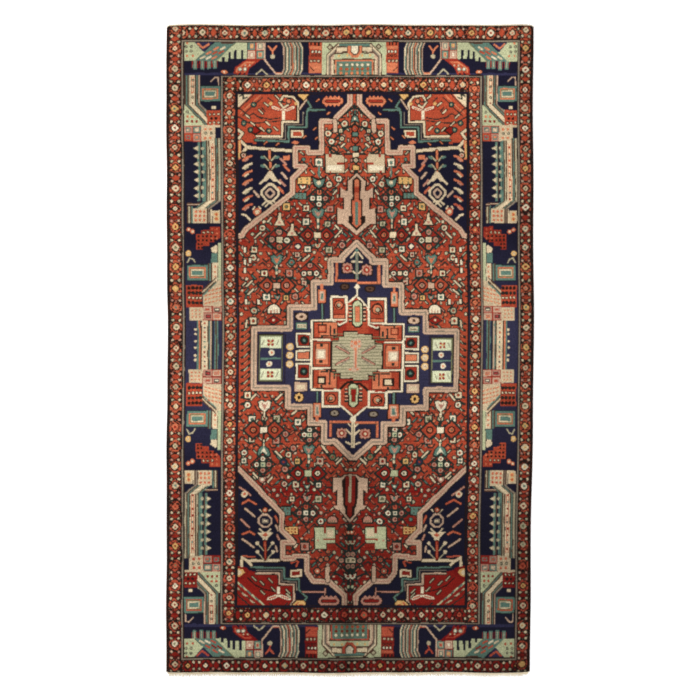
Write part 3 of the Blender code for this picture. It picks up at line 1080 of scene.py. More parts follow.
for x, y in ((-28.8, 52.4), (-23.7, 48)):
    weave(
        field, "brown",
        patch(
            (x - 2.7, y - 1.9), (x - 1, y + 1.2), (x - 0.7, y + 4.0), (x + 0.7, y + 4.0),
            (x + 1, y + 1.2), (x + 2.7, y - 1.9)
        )
    )
    weave(
        field, "cream",
        patch(
            (x - 2.1, y - 1.5), (x - 0.6, y + 1.0), (x - 0.4, y + 3.4), (x + 0.4, y + 3.4),
            (x + 0.6, y + 1.0), (x + 2.1, y - 1.5)
        )
    )
    weave(field, "pink", disc(x, y - 0.5, 0.6))
for x, y, run, rise in (
    (-42.6, 25.6, 2.6, 2.4), (-42, 22.4, 2.4, 2), (-39, 45.5, 2.4, 2.3), (-33.8, 52.2, 1.6, 1.6),
    (-19.2, 36.4, 2.4, 2), (-5.8, 50.6, 2.6, -2.8), (-6, 46, 2.4, 2.6), (-43, 9, 0.4, 2.6),
    (-6.9, 63.4, 1.2, 1.6), (-3.5, 83, 1.4, 1.2)
):
    weave(field, "forest", line(1.5, (x, y), (x + run, y + rise)))
    weave(field, "cream", line(0.6, (x, y), (x + run, y + rise)))
for x, y in ((-42.9, 40.7), (-43, 35.6), (-43, 32.2), (-42.7, 19.4), (-37.7, 19.2), (-41, 36.3)):
    weave(field, "brown", block(x - 0.85, x + 0.85, y - 1.4, y + 1.4))
    weave(field, "ivory", block(x - 0.45, x + 0.45, y - 1, y + 1))
knotted("close to the medallion and the left edge")

# %% Close to the pendant and the corner
four_flowers(-12.7, 61.9, 2.6)
palmette(field, -12.7, 68.6, 2.5, "teal", "cream")
talim(field, """
teal line 0.8 -12.7,71 -12.7,75
brown block -21.9 -15.7 67.3 70.7
gold block -21.5 -16.1 67.7 70.3""")
dotted(field, "olive", 0.4, (-20.1, -17.6), (69.6, 68.3))
talim(field, """
brown block -24.6 -17.6 61.3 64.4
teal block -24.2 -18 61.7 64""")
dotted(field, "umber", 0.35, (-22.9, -21.2, -19.5), (63.4, 62.2))
knotted("close to the pendant and the corner")

# %% The column of blooms up to the neck
talim(field, """
forest line 1.4 2.4,100.4 2.4,72.4 line 0.9 -3.6,95 2.4,99.6 line 0.9 -6.4,86 -1,91 2.4,91 line 0.9 -9,83
-4,79.8 2.4,80
teal block 2 2.9 96.4 100""")
palmette(field, 2.5, 94.2, 1.9, "teal", "ivory", way=-1)
for y, wool, size in ((90.3, "rust", 1.3), (85.9, "rust", 1.5), (77.4, "sage", 0.8)):
    rosette(field, 2.4, y, size, wool, "pink", edge="brown")
for y, wool in ((88, "teal"), (82.2, "teal"), (79.6, "cream"), (74.4, "gold")):
    weave(field, "brown", block(0.7, 4.1, y - 1.2, y + 1.2))
    weave(field, wool, block(1.1, 4, y - 0.8, y + 0.8))
for x, y in ((-3.6, 89.4), (-5.2, 92.8), (-3.2, 86.2), (-3.4, 96.6)):
    rosette(field, x, y, 0.75, "cream", "olive")
knotted("the column of blooms up to the neck")

# %% Lower field
squares(
    (-42.1, -19, 1.2), (-40.1, -28.7, 1.2), (-30, -28.7, 1.25), (-40.1, -37.3, 1.0), (-30.1, -37.6, 1.2),
    (-43.2, -45.8, 1.0), (-21.3, -46, 1.0), (-12.2, -46.1, 1.25), (-22, -55.5, 1.2), (-12.7, -55.7, 0.9),
    (-12.5, -61.5, 1.2), (-23.3, -61.5, 0.9), (-18.1, -81, 1.5), (-21.3, -30, 1.1)
)
for x, y, wool in (
    (-42, -23, "ivory"), (-26.3, -35, "pink"), (-23, -40.7, "pink"), (-25, -43.3, "cream"),
    (-27, -46.3, "indigo"), (-7, -44.3, "olive"), (-26.3, -49.3, "pink"), (-26.7, -55.3, "outline"),
    (-11.5, -70.7, "ivory"), (-13, -91, "cream"), (-43, -42.5, "ivory"), (-35, -28.4, "sage")
):
    rosette(field, x, y, 1.1, wool, "rust")
twin_lozenges(-39.5, -30.8, -33.2, "ivory", "salmon", "rust")
twin_lozenges(-21, -13, -51, "green", "ivory", "madder")
heart(-35, -23.2, 2.5, "ivory", "pink", stem=2.0)
heart(-35.1, -42, 2.5, "teal", "ivory", way=-1, stem=2.0)
heart(-16.7, -41.3, 2.3, "teal", "pink", stem=3.0)
four_flowers(-35.5, -47.4, 2.5, "green", ("ivory", "pink"))
four_flowers(-16.4, -35.2, 2.2, "green", ("ivory", "pink"))
four_flowers(-17.6, -67.3, 2.7, "ivory", ("pink", "ivory", "salmon"))
palmette(field, -35.7, -53.2, 1.7, "pink", "ivory")
palmette(field, -17.3, -60.9, 1.7, "pink", "teal")
palmette(field, -17.3, -56.2, 1.2, "teal", "ivory")
for x, y, run, rise in (
    (-30.5, -20.8, 2.4, 2.3), (-11.6, -39.4, 2.6, -3), (-30.4, -42, 2.4, -2.4), (-23.6, -26.6, 2.4, 2.2),
    (-5.4, -47, 2.2, 2), (-40.6, -20.8, 1.8, 2.2), (-39.4, -50.8, 1.8, -2), (-31.6, -52.6, -1.8, -2)
):
    weave(field, "forest", line(1.5, (x, y), (x + run, y + rise)))
    weave(field, "cream", line(0.65, (x, y), (x + run, y + rise)))
talim(field, """
brown block -26.4 -20.6 -76.2 -72.6
gold block -26 -21 -75.8 -73""")
dotted(field, "brick", 0.4, (-24.8, -23.4, -22), (-73.8, -75.1))
talim(field, """
brown block -28.4 -23.6 -68.4 -64.4
teal block -28 -24 -68 -64.8""")
dotted(field, "umber", 0.35, (-27, -25.2), (-65.6, -67.2))
dome(-6.7, -70.5, 1.9, "pink", "olive")
knotted("lower field")

# %% The column of blooms down to the neck
talim(field, """
forest line 1.2 0,-72 0,-99 line 0.8 -5,-80 0,-84 line 0.8 -6,-91.6 0,-94.6 diamond -0.2,-86.7 5.2 4.8
madder diamond -0.2,-86.7 4.3 3.9""")
for x, y in ((-3, -86.7), (-0.2, -84.2), (-0.2, -89.2)):
    rosette(field, x, y, 0.95, "pink", "olive")
small_square(field, -0.2, -86.7, 1.0, "cream", "olive")
palmette(field, -0.2, -93, 1.6, "ivory", "rust")
palmette(field, -0.2, -79, 1.3, "sage", "rust")
palmette(field, -0.2, -75, 1.2, "salmon", "cream")
talim(field, """
green line 0.8 -3.8,-97.4 -2,-99.4 disc -0.2,-97.4 0.6""")
for x, y in ((-9, -86), (-11.5, -86.5), (-8.5, -83)):
    rosette(field, x, y, 0.8, "salmon", "olive")
knotted("the column of blooms down to the neck")

# %% The two pale notched blocks
talim(field, """
brown block -10.4 -2.1 71.9 80.1
straw block -10 -2.5 72.3 79.7
ivory block -9.4 -3.2 73.2 75.2
brick block -5.3 -2.3 75.6 76.5 block -8.6 -7.5 78.6 80 block -8.5 -7.7 72.2 73.1 block -3.2 -2.4 79 80
brown block -14.4 -5.3 -82.3 -72.6
green patch -13.9,-73 -5.7,-73.3 -5.7,-79.5 -9.3,-79.5 -9.3,-81.9 -13.9,-81.9
cream block -9 -6.2 -77 -74
rust block -9.1 -5.3 -82.4 -79.8 block -10.3 -9.3 -75.6 -72.5 block -10.5 -5.6 -78.4 -77.7
pink disc -12.7,-78.6 0.45""")
knotted("the two pale notched blocks")

# %% [markdown]
# ## The corners
# Each corner of the field is navy, cut off from the red by a stepped double line, with a smaller red corner
# inside it. On the navy stand a tree, a bell and many short leaves. The top and bottom corners tell the
# same story with different steps, so each has its own notes, and each is mirrored once.


# %% Framed squares and cartouches
def framed_square(x, y, half_width, half_height):
    for wool, inset in (("brown", -0.4), ("cream", 0), ("brick", 0.8), ("rust", 1.1)):
        weave(
            field, wool,
            block(
                x - half_width + inset, x + half_width - inset, y - half_height + inset * 0.8,
                y + half_height - inset * 0.8
            )
        )


def cartouche(x, y, rim, heart):
    """A long toothed flower with a dark line inside."""
    for wool, inset in (("brown", -0.4), (rim, 0), ("brown", 0.9), (heart, 1.2)):
        outline = (
            (-4.3, 0), (-3.9, 1.1), (-2.7, 1.5), (2.7, 1.5), (3.9, 1.1), (4.3, 0), (3.9, -1.1),
            (2.7, -1.5), (-2.7, -1.5), (-3.9, -1.1)
        )
        weave(
            field, wool,
            patch(*[(x + a * (1 - inset / 4.3), y + b * (1 - inset / 1.9)) for a, b in outline])
        )
    for tooth in (-2.6, -0.9, 0.9, 2.6):
        weave(field, rim, diamond(x + tooth, y + 1.6, 0.7), diamond(x + tooth, y - 1.6, 0.7))


print("one of each stands in every corner")

# %% Top corners: navy and red
weave(field, "navy", patch(*TOP_CORNER, (-47, 107)))
red = (
    (-47, 107), (-47, 84), (-38, 84), (-38, 87.3), (-27.5, 87), (-27.5, 93.2), (-21, 93), (-21, 101),
    (-23, 103.5), (-28, 107)
)
weave(field, "rust", patch(*red))
knotted("top corners: navy and red")

# %% Lines that step round the red corner
outlined(
    field, 0.75, "cream",
    (
        (-38, 87.3), (-27.5, 87), (-27.5, 93.2), (-21, 93), (-21, 101), (-23, 103.4), (-27, 103.8),
        (-28.6, 101.2), (-27, 98.9), (-25.4, 100)
    )
)
outlined(
    field, 0.7, "teal",
    ((-38.5, 85.6), (-25, 85), (-25, 91), (-17.5, 91), (-17.5, 97.4), (-16, 98), (-10.3, 98)),
    ((-17.2, 98.2), (-15.6, 99.2), (-17.6, 102.3))
)
talim(field, """
stone line 0.35 -38,86.4 -26.2,86 -26.2,92 -19,92 -19,97""")
knotted("lines that step round the red corner")

# %% Navy between the red and the lines below it
talim(field, """
navy patch -47,84.6 -39.5,84.6 -39.5,83.4 -47,83.4""")
outlined(
    field, 1.2, "cream", ((-42, 82.7), (-23.4, 81.2)), ((-42, 82.7), (-44.4, 85.2)),
    ((-42, 82.7), (-44, 80.4))
)
talim(field, """
salmon block -45.7 -44.4 77.8 86
gold block -45.4 -44.8 78.4 85.2""")
rosette(field, -43.4, 79.4, 0.9, "outline", "rust", edge="brown")
knotted("navy between the red and the lines below it")

# %% Tree over a bell and a stepped diamond
talim(field, """
brown line 1.7 -32.7,81.2 -32.7,72.6
salmon line 0.95 -32.7,81.2 -32.7,72.6""")
for y in (78.8, 75.2):
    for way in (-1, 1):
        outlined(field, 0.55, "sage", ((-32.7 + way * 0.6, y - 1.6), (-32.7 + way * 2.4, y + 0.3)))
        weave(field, "teal", line(1.0, (-32.7 + way * 2.4, y - 0.4), (-32.7 + way * 3.4, y - 0.1)))
talim(field, """
cream patch -33.4,72.8 -32,72.8 -31.2,71.6 -29.3,68.7 -36.1,68.7 -34.2,71.6 line 0.8 -35.4,69.2 -36.8,67.8
line 0.8 -30,69.2 -28.6,67.8
navy patch -34.3,68.5 -32.7,70.2 -31.1,68.5""")
for wool, reach in (("cream", 3.9), ("navy", 2.9), ("outline", 2.0), ("navy", 1.1)):
    weave(
        field, wool,
        patch(
            *[
                (-32.7 + reach * a, 64 + reach * b) for a,
                b in (
                    (-1, 0.25), (-0.25, 1), (0.25, 1), (1, 0.25), (1, -0.25), (0.25, -1), (-0.25, -1),
                    (-1, -0.25)
                )
            ]
        )
    )
talim(field, """
cream line 0.7 -34.4,58.6 -32.7,60.2 -31,58.6 line 0.7 -35.6,59.2 -34.4,60.4 line 0.7 -29.8,59.2 -31,60.4""")
for count, y in enumerate((78.4, 75.2, 72.2, 68.6, 65.2, 62, 58.6)):
    wool, other = (("salmon", "pink"), ("cream", "sage"), ("salmon", "cream"))[count % 3]
    weave(field, wool, line(0.85, (-43.6, y - 1.1), (-42.4, y), (-40.2, y + 0.8)))
    weave(field, other, line(0.7, (-42.9, y - 1.4), (-41.6, y - 0.4)))
for count, (x, y) in enumerate(
    ((-27.2, 76.8), (-26, 74.2), (-26.8, 71.0), (-27.6, 68.0), (-28.2, 65.0), (-38.2, 63.4))
):
    wool = ("pink", "salmon", "outline")[count % 3]
    weave(field, wool, line(0.9, (x - 1.1, y + 1.2), (x + 0.9, y - 1.0)))
talim(field, """
salmon block -27.4 -24.6 77.6 79.4""")
for wool, reach in (("salmon", 1.6), ("cream", 0.9)):
    weave(field, wool, disc(-38, 56.2, reach))
talim(field, """
cream line 0.6 -39.6,57.4 -38.9,58.4 line 0.6 -36.6,57.4 -37.2,58.4 line 0.8 -44,55.2 -42.4,54.8 -40.8,53""")
knotted("tree over a bell and a stepped diamond")

# %% Red corner's own figures
talim(field, """
cream patch -46.6,105.5 -39,105.5 -45.6,98.8
forest line 0.6 -45,103.6 -43.4,104.4 -43.6,102.6 -42,103.2""")
for shift, wool in ((0.0, "forest"), (1.4, "salmon"), (2.3, "forest")):
    weave(field, wool, line(0.5, (-46 + shift, 98 - shift), (-38 + shift, 105.5 - shift)))
talim(field, """
ivory block -27.7 -26.5 94 97.8""")
for way in (-1, 1):
    weave(
        field, "brick",
        patch(
            *[
                (-27.1 + way * a, b) for a,
                b in ((0, 98.8), (1.6, 97.2), (5, 98), (5.4, 100), (3.6, 100.2), (1.6, 99))
            ]
        )
    )
    weave(
        field, "ivory",
        patch(
            *[
                (-27.1 + way * a, b) for a,
                b in ((0, 98.4), (1.4, 97.6), (4.6, 98.6), (4.8, 99.6), (3.2, 99.4), (1.4, 98.6))
            ]
        )
    )
    weave(field, "salmon", line(0.5, (-27.1 + way * 1.4, 98.1), (-27.1 + way * 3.8, 98.9)))
talim(field, """
forest disc -24.9,101.6 1.3 line 0.6 -28.6,101.6 -26.6,101.2
salmon disc -24.9,101.6 0.8
brown patch -41.6,89.6 -38.6,91.9 -35.4,89.6 -38.6,87.4
madder patch -40.6,89.6 -38.6,91.2 -36.6,89.6 -38.6,88.2
forest line 0.5 -46,95.4 -41,92.6 -36.6,92.8 -28.6,93.6 line 0.5 -45.4,99 -41,95.6 -39.4,96.6 -36,94.4
gold disc -32.2,100.6 0.7 disc -21.9,100.6 0.7
forest line 0.5 -38,95.4 -33,94.2 -28.5,94.8 line 0.5 -36,99 -34.5,97.4 line 0.5 -33.2,103 -31.4,101.6""")
for x, y in (
    (-37, 98), (-34.2, 93.2), (-36.4, 90.8), (-31, 91), (-40.4, 93), (-42.4, 96), (-30.4, 104),
    (-34.8, 101)
):
    sprig(field, x, y, 1.5, -1.3, "cream", 0.5)
for x, y in ((-33, 89.5), (-40.6, 89.8), (-39.2, 100.2), (-43.2, 92.6)):
    rosette(field, x, y, 0.7, "teal", "gold")
outlined(field, 1.0, "cream", ((-46, 90.2), (-43.6, 88.4), (-45.2, 86.4)))
knotted("red corner's own figures")

# %% Figures on the navy
framed_square(-21.4, 88.3, 2.5, 1.5)
cartouche(-6.9, 101.6, "salmon", "brick")
talim(field, """
brown patch -22,106.5 -21.4,103.2 -18.8,101.4 -15.8,104.4 -15.8,106.5
gold patch -21.4,106.5 -20.8,103.8 -18.8,102.2 -16.4,104.8 -16.4,106.5""")
outlined(field, 0.6, "outline", ((-17.6, 102.4), (-20.4, 98.4)))
talim(field, """
salmon patch -24,84.6 -22.4,85.6 -20.6,84.8 -21.6,83.8""")
for x, y in ((-14.6, 90), (-14, 86), (-19, 86.6), (-30, 83.6), (-35, 84.2), (-13.6, 101.6), (-9, 96.2)):
    sprig(field, x, y, 1.0, 0.8, "salmon", 0.5)
knotted("figures on the navy")

# %% Bottom corners: navy and red
weave(field, "navy", patch(*BOTTOM_CORNER, (-47, -107)))
red = (
    (-47, -107), (-47, -89.4), (-38, -91.4), (-28.6, -92), (-28.6, -96.4), (-22.5, -96.6),
    (-22.5, -103.2), (-25, -105.5), (-26, -107)
)
weave(field, "madder", patch(*red))
outlined(
    field, 0.7, "outline",
    ((-38, -92), (-28.6, -92), (-28.6, -96.4), (-22.5, -96.6), (-22.5, -103.2), (-24.4, -106))
)
outlined(
    field, 0.7, "teal",
    (
        (-40, -89.4), (-26.5, -89.8), (-26.5, -94.3), (-20.4, -94.4), (-20.4, -98.9), (-17, -101.8),
        (-18.4, -103.6)
    )
)
talim(field, """
stone line 0.35 -38,-90.8 -27.5,-90.8 -27.5,-95.3 -21.4,-95.5 -21.4,-99""")
outlined(field, 0.45, "pink", ((-19, -99.5), (-9.6, -99.6)), ((-9.6, -98.2), (-9.6, -101)))
outlined(
    field, 1.1, "cream", ((-41.6, -86.9), (-28, -86.6)), ((-41.6, -86.9), (-43.8, -85.6)),
    ((-41.6, -86.9), (-40, -88.6)), ((-44, -85.4), (-44.2, -89))
)
talim(field, """
salmon line 0.6 -43.6,-84.9 -38.6,-85.2""")
knotted("bottom corners: navy and red")

# %% Diamond, funnel and tree
for wool, reach in (("outline", 2.9), ("navy", 2.2)):
    weave(
        field, wool,
        patch(
            *[
                (-34.4 + reach * a, -70.4 + reach * b) for a,
                b in (
                    (-1, 0.35), (-0.35, 1), (0.35, 1), (1, 0.35), (1, -0.35), (0.35, -1), (-0.35, -1),
                    (-1, -0.35)
                )
            ]
        )
    )
talim(field, """
stone block -35.6 -33.2 -71.3 -69.7
cream block -35.2 -33.6 -70.9 -70.1 line 0.5 -36.6,-65.8 -34.8,-67.4 line 0.5 -32.2,-65.8 -34,-67.4""")
rosette(field, -34.4, -66.0, 0.9, "salmon", "cream", edge="brown")
talim(field, """
cream patch -37.9,-75.1 -30.9,-75.1 -33.2,-77.4 -33.8,-79 -35,-79 -35.6,-77.4 line 0.6 -36.6,-73.8
-34.9,-75.6 line 0.6 -32.2,-73.8 -33.9,-75.6
salmon diamond -34.4,-76.2 1.3 0.9
brown line 1.8 -34.4,-79 -34.4,-86
rust line 1.1 -34.4,-79 -34.4,-86
salmon line 0.4 -34.4,-79.4 -34.4,-85.4""")
for way in (-1, 1):
    for y in (-79.6, -83.2):
        weave(field, "sage", line(0.45, (-34.4 + way * 0.8, y - 3.0), (-34.4 + way * 2.8, y - 0.6)))
        weave(field, "cream", disc(-34.4 + way * 3.2, y, 0.75))
knotted("diamond, funnel and tree")

# %% Leaves on the navy
for count, path in enumerate(
    (
        ((-45, -56.6), (-40.4, -60)), ((-43.8, -63.4), (-41.2, -61.8), (-38.2, -63.6)),
        ((-42.6, -65.5), (-38.8, -68.6)), ((-44.4, -69.8), (-41, -73)),
        ((-43.7, -76), (-40.8, -74.8), (-38.8, -76)), ((-43.7, -78), (-39, -81.3)),
        ((-29.4, -76.2), (-28.6, -78.2)), ((-30.2, -68.6), (-28.9, -71.4)), ((-30, -72.2), (-29, -74.4)),
        ((-31.2, -64.4), (-30.2, -66.4)), ((-23.6, -87.6), (-21.6, -86.8), (-20.8, -87.4), (-21.6, -89)),
        ((-30, -81), (-29.6, -83))
    )
):
    weave(field, "brown", line(1.2, *path))
    weave(field, ("pink", "salmon", "outline")[count % 3], line(0.75, *path))
for wool, reach in (("cream", 1.3), ("salmon", 0.6)):
    weave(field, wool, disc(-43.0, -59.6, reach))
knotted("leaves on the navy")

# %% The red corner's own figures
talim(field, """
ivory block -29.2 -28 -101 -97.4""")
for way in (-1, 1):
    weave(
        field, "brick",
        patch(
            *[
                (-28.6 + way * a, b) for a,
                b in (
                    (0, -100.4), (1.6, -100.4), (5.2, -101.6), (5.4, -103.2), (3.6, -103.2), (0, -101.8)
                )
            ]
        )
    )
    weave(
        field, "ivory",
        patch(
            *[
                (-28.6 + way * a, b) for a,
                b in ((0, -100.8), (1.6, -100.8), (4.8, -102), (4.9, -102.8), (3.2, -102.8), (0, -101.5))
            ]
        )
    )
    weave(field, "salmon", line(0.5, (-28.6 + way * 1.2, -101.4), (-28.6 + way * 3.8, -102.3)))
talim(field, """
forest line 0.5 -32.6,-104.2 -30.4,-105.8 -27,-105.8 -25.2,-104.4""")
for count in range(7):
    x, y = -46.6 + 1.6 * count, -97.6 - 1.35 * count
    weave(field, ("sage", "umber")[count % 2], line(0.6, (x, y), (x + 1.7, y - 1.2)))
    weave(field, ("green", "teal")[count % 2], line(0.6, (x + 0.5, y + 2.4), (x + 2.5, y + 0.4)))
    weave(field, "forest", line(0.5, (x, y - 2.6), (x + 1.6, y - 3.6)))
for x, y in (
    (-39.6, -93.4), (-36.4, -95.2), (-33.0, -94.2), (-31.6, -97.8), (-36, -99), (-25.6, -98.6),
    (-25.4, -100.2)
):
    sprig(field, x, y, 1.5, -1.5, "sage", 0.45)
talim(field, """
brown line 0.5 -38.6,-96.6 -34.6,-98.6 -31,-99.4 line 0.5 -41.4,-93.8 -38,-97.2
brick patch -46.8,-88.6 -41.8,-89.8 -40.8,-91.6 -43.6,-94.2 -46.8,-94.6
gold patch -46.8,-89.6 -43.6,-90.4 -42.8,-91.6 -44.4,-93 -46.8,-93.8
cream disc -45.3,-91.7 1.1""")
knotted("the red corner's own figures")

# %% Figures on the navy of the bottom corners
framed_square(-21.7, -92.0, 2.4, 1.5)
cartouche(-8.0, -103.3, "pink", "brick")
talim(field, """
brown patch -24.2,-107 -23.4,-104.2 -21.2,-102.6 -18.4,-102.6 -17.2,-104 -17.2,-107
gold patch -23.6,-107 -22.8,-104.6 -21,-103.1 -18.6,-103.1 -17.7,-104.2 -17.7,-107
salmon line 0.6 -22.6,-106 -20.8,-104 block -20.4 -18.6 -106 -104.8""")
knotted("figures on the navy")

# %% The stepped lines round the corners
for path in (TOP_CORNER, BOTTOM_CORNER):
    weave(field, "brown", line(2.7, *path))
    weave(field, "outline", line(2.05, *path))
    weave(field, "pink", line(0.4, *path))
knotted("the stepped lines round the corners")

# %% Hooks inside the bands
for path in (((-5.9, 93.6), (-5.9, 89.4)), ((-8.7, -95), (-8.7, -89.8))):
    weave(field, "brown", line(2.3, *path))
    weave(field, "outline", line(1.6, *path))
rosette(field, -12.9, -91, 1.1, "salmon", "cream")
knotted("hooks inside the bands")

# %% [markdown]
# ## The pendants
# Above and below the medallion hangs a tall cartouche, four outlines one inside the other. Scaling one
# outline down would round its steps off, so each outline is given. Only one half is: the ground measures
# how far a knot lies from the pendant's own middle line.


# %% One pendant
def pendant(centre, outer, black, inner, core, wools):
    """The tall cartouche above or below the medallion: four outlines, one inside the other."""
    g = [Ground(-abs(x_cm - centre), y_cm, in_field)]
    middle = (outer[0][1] + outer[-1][1]) / 2
    rim = tuple((x * 1.02 - 0.55 * (x < 0), (y - middle) * 1.035 + middle) for x, y in outer)
    for wool, outline in zip(("brown", "outline", "brown", *wools), (rim, outer, black, inner, core)):
        weave(g, wool, patch((0.5, outline[0][1]), *outline, (0.5, outline[-1][1])))

# %% The two pendants
pendant(
    2.7,
    (
        (0, 72), (-2.2, 69.9), (-3.5, 68.8), (-3.5, 64.8), (-4.6, 64.8), (-6.6, 66.2), (-6.6, 62),
        (-5, 62), (-5, 57.4), (-6.4, 57.4), (-7.7, 58), (-7.7, 51.4), (-5.6, 51.4), (0, 46.8)
    ),
    (
        (0, 70.8), (-1.7, 69.4), (-1.7, 61.4), (-2.3, 61.4), (-2.3, 54.6), (-3.5, 54.6), (-3.5, 52),
        (0, 48.6)
    ),
    ((0, 69.6), (-0.9, 69.2), (-0.9, 61), (-1.7, 61), (-1.7, 51.2), (0, 49.7)),
    ((0, 60.4), (-0.6, 60.4), (-0.6, 51), (0, 50.6)), ("salmon", "teal")
)
weave([Ground(-abs(x_cm - 2.7), y_cm, in_field)], "rust", block(-0.9, 0.5, 64.2, 66.6))
pendant(
    0.4,
    (
        (0, -51.5), (-2.2, -51.7), (-4, -52.8), (-7.1, -53), (-6.9, -59), (-5.2, -57.4), (-5.2, -64),
        (-6.9, -64.4), (-5.6, -65.8), (-4.4, -66), (0, -71.2)
    ),
    ((0, -51.9), (-2, -52), (-3.4, -54), (-2.8, -64), (-2, -66), (-1.9, -68), (0, -69.8)),
    ((0, -52), (-1.9, -52.4), (-1.9, -64), (-1, -64.4), (-1, -68.2), (0, -69)),
    ((0, -52), (-0.55, -52), (-0.55, -62.6), (0, -63)), ("brick", "sage")
)
knotted("pendants")

# %% [markdown]
# ## The medallion
# The heart of the rug is a stepped medallion with two wings, built like a staircase of boxes round a pale
# green middle. Its right half is a little wider than its left one, as hand work is. So the steps of both
# halves are listed, and every knot on the right looks up the place of its twin on the left.

# %% Where the medallion's steps lie
# The right half's steps lie a little differently, so its places are moved to those of the left half.
TOP_STEPS = (
    (2.7, 2.7), (7.5, -2.0), (14.4, -7.9), (21.6, -16.0), (27.9, -22.4), (31.0, -25.4), (44.2, -40.5),
    (48.4, -46.3)
)
BOTTOM_STEPS = (
    (1.3, 1.3), (7.4, -4.3), (14.5, -11.1), (21.4, -16.1), (27.9, -22.4), (31.0, -25.5), (43.5, -39.8),
    (48.4, -46.3)
)
MIDDLE_STEPS = (
    (2.0, 2.0), (13.0, -7.8), (21.5, -16.1), (27.9, -22.4), (31.0, -25.4), (43.8, -40.1), (48.4, -46.3)
)
RIGHT_HEIGHTS = (
    (-140, -140), (-45, -45), (-17.5, -16.8), (8, 9.2), (10.3, 11.8), (15.7, 17.8), (20.5, 21.2),
    (27, 28), (36.5, 37), (43.5, 43.5), (140, 140)
)
thirds = [y_cm > 3.6, y_cm > -8.0]
M_AXIS = np.select(thirds, [2.7, 2.0], 1.3)
twins = np.select(
    thirds, [np.interp(x_cm, *zip(*steps)) for steps in (TOP_STEPS, MIDDLE_STEPS)],
    np.interp(x_cm, *zip(*BOTTOM_STEPS))
)
m_u = np.where(x_cm < M_AXIS, x_cm, twins)
m_v = np.where(x_cm < M_AXIS, y_cm, np.interp(y_cm, *zip(*RIGHT_HEIGHTS)))
medal = [Ground(m_u, m_v, in_field, wobble=0.1)]
MEDALLION = (
    (3, 43.5), (2.7, 43.5), (-3.4, 37.6), (-3.4, 36.4), (-8, 36.4), (-8, 27.2), (-15, 27.2), (-15, 17),
    (-25, 17), (-25, 8.3), (-39.6, 8.3), (-39.6, -15.9), (-25.6, -15.9), (-25.6, -23.6), (-16.3, -23.6),
    (-16.3, -30.4), (-10.5, -30.4), (-10.5, -38), (-6, -38), (0.5, -44.5), (3, -44.5)
)
print("medallion outline points", len(MEDALLION))


# %% Gears and nested blocks
def gear(g, x, y, radius, wool, heart, teeth=8):
    weave(g, "brown", disc(x, y, radius + 0.5))
    for turn in range(teeth):
        angle = turn * math.tau / teeth
        weave(
            g, wool,
            disc(x + radius * 0.8 * math.cos(angle), y + radius * 0.8 * math.sin(angle), radius * 0.3)
        )
    weave(g, wool, disc(x, y, radius * 0.72))
    weave(g, heart, disc(x, y, radius * 0.45))


def nested(g, box, *rings):
    """Blocks one inside the other. Each ring gives its wool and how far it lies inside the box."""
    left, right, low, high = box
    for wool, inset in rings:
        weave(g, wool, block(left + inset, right - inset, low + inset, high - inset))


print("wings, boxes and panels are all nested blocks")

# %% The medallion's outline and navy
weave(medal, "brown", line(3.3, *MEDALLION))
weave(medal, "navy", patch(*MEDALLION))
weave(medal, "outline", line(2.4, *MEDALLION))
weave(medal, "stone", line(0.45, *MEDALLION))
knotted("the medallion's outline and navy")

# %% Wings
nested(medal, (-38.4, -26.8, -14.0, 6.4), ("brown", 0), ("indigo", 0.3))
nested(medal, (-37.9, -27.5, -13.4, 5.9), ("brown", 0), ("olive", 0.3), ("navy", 0.8))
nested(medal, (-37.0, -28.4, 0.4, 5.0), ("mist", 0))
nested(medal, (-37.0, -28.4, -12.7, -8.1), ("mist", 0))
for y in (2.6, -10.4):
    for x, dy in ((-33.7, 0.7), (-32.1, 0.7), (-33.7, -0.8), (-32.1, -0.8)):
        weave(medal, "brick", disc(x, y + dy, 0.6))
    weave(medal, "gold", disc(-32.9, y, 0.5))
    for x in (-36, -30):
        weave(medal, "stone", line(0.4, (x - 0.5, y - 1), (x + 0.5, y + 1)))
talim(medal, """
teal block -37 -28.4 -4.3 -3.5""")
for x, y in ((-32.3, -1.5), (-33.3, -6.1)):
    weave(medal, "ivory", disc(x, y, 1.2))
    weave(medal, "salmon", disc(x, y, 0.5))
for y in (0.9, -2.6, -6.2):
    weave(medal, "gold", disc(-24.9, y, 1.5))
    weave(medal, "cream", disc(-24.9, y, 1.05))
    weave(medal, "outline", disc(-24.9, y, 0.4))
knotted("wings")

# %% First steps
nested(medal, (-23.0, -17.4, 11.6, 15.0), ("brown", 0))
talim(medal, """
outline disc -20.2,13.3 2.3 0.62 block -22 -18.4 12.4 14.2
umber disc -20.2,13.3 0.7""")
nested(
    medal, (-22.7, -17.6, 7.8, 11.1), ("brown", 0), ("teal", 0.3), ("cream", 0.75), ("brown", 1.1),
    ("sage", 1.3)
)
nested(medal, (-23.2, -17.5, -17.6, -13.4), ("brown", 0), ("outline", 0.3), ("cream", 1.2))
gear(medal, -21, -19.9, 1.6, "gold", "brown")
for low, high, bud in ((0.6, 6.5, "forest"), (-4.9, -0.4, None), (-12.6, -5.7, "forest")):
    nested(
        medal, (-22.4, -16.2, low, high), ("brown", -0.35), ("ivory", 0), ("brown", 0.65),
        ("salmon" if bud is None else "brick", 0.95)
    )
    if bud:
        middle = (low + high) / 2
        gear(medal, -19.1, middle, 1.25, "forest", "teal")
knotted("first steps")

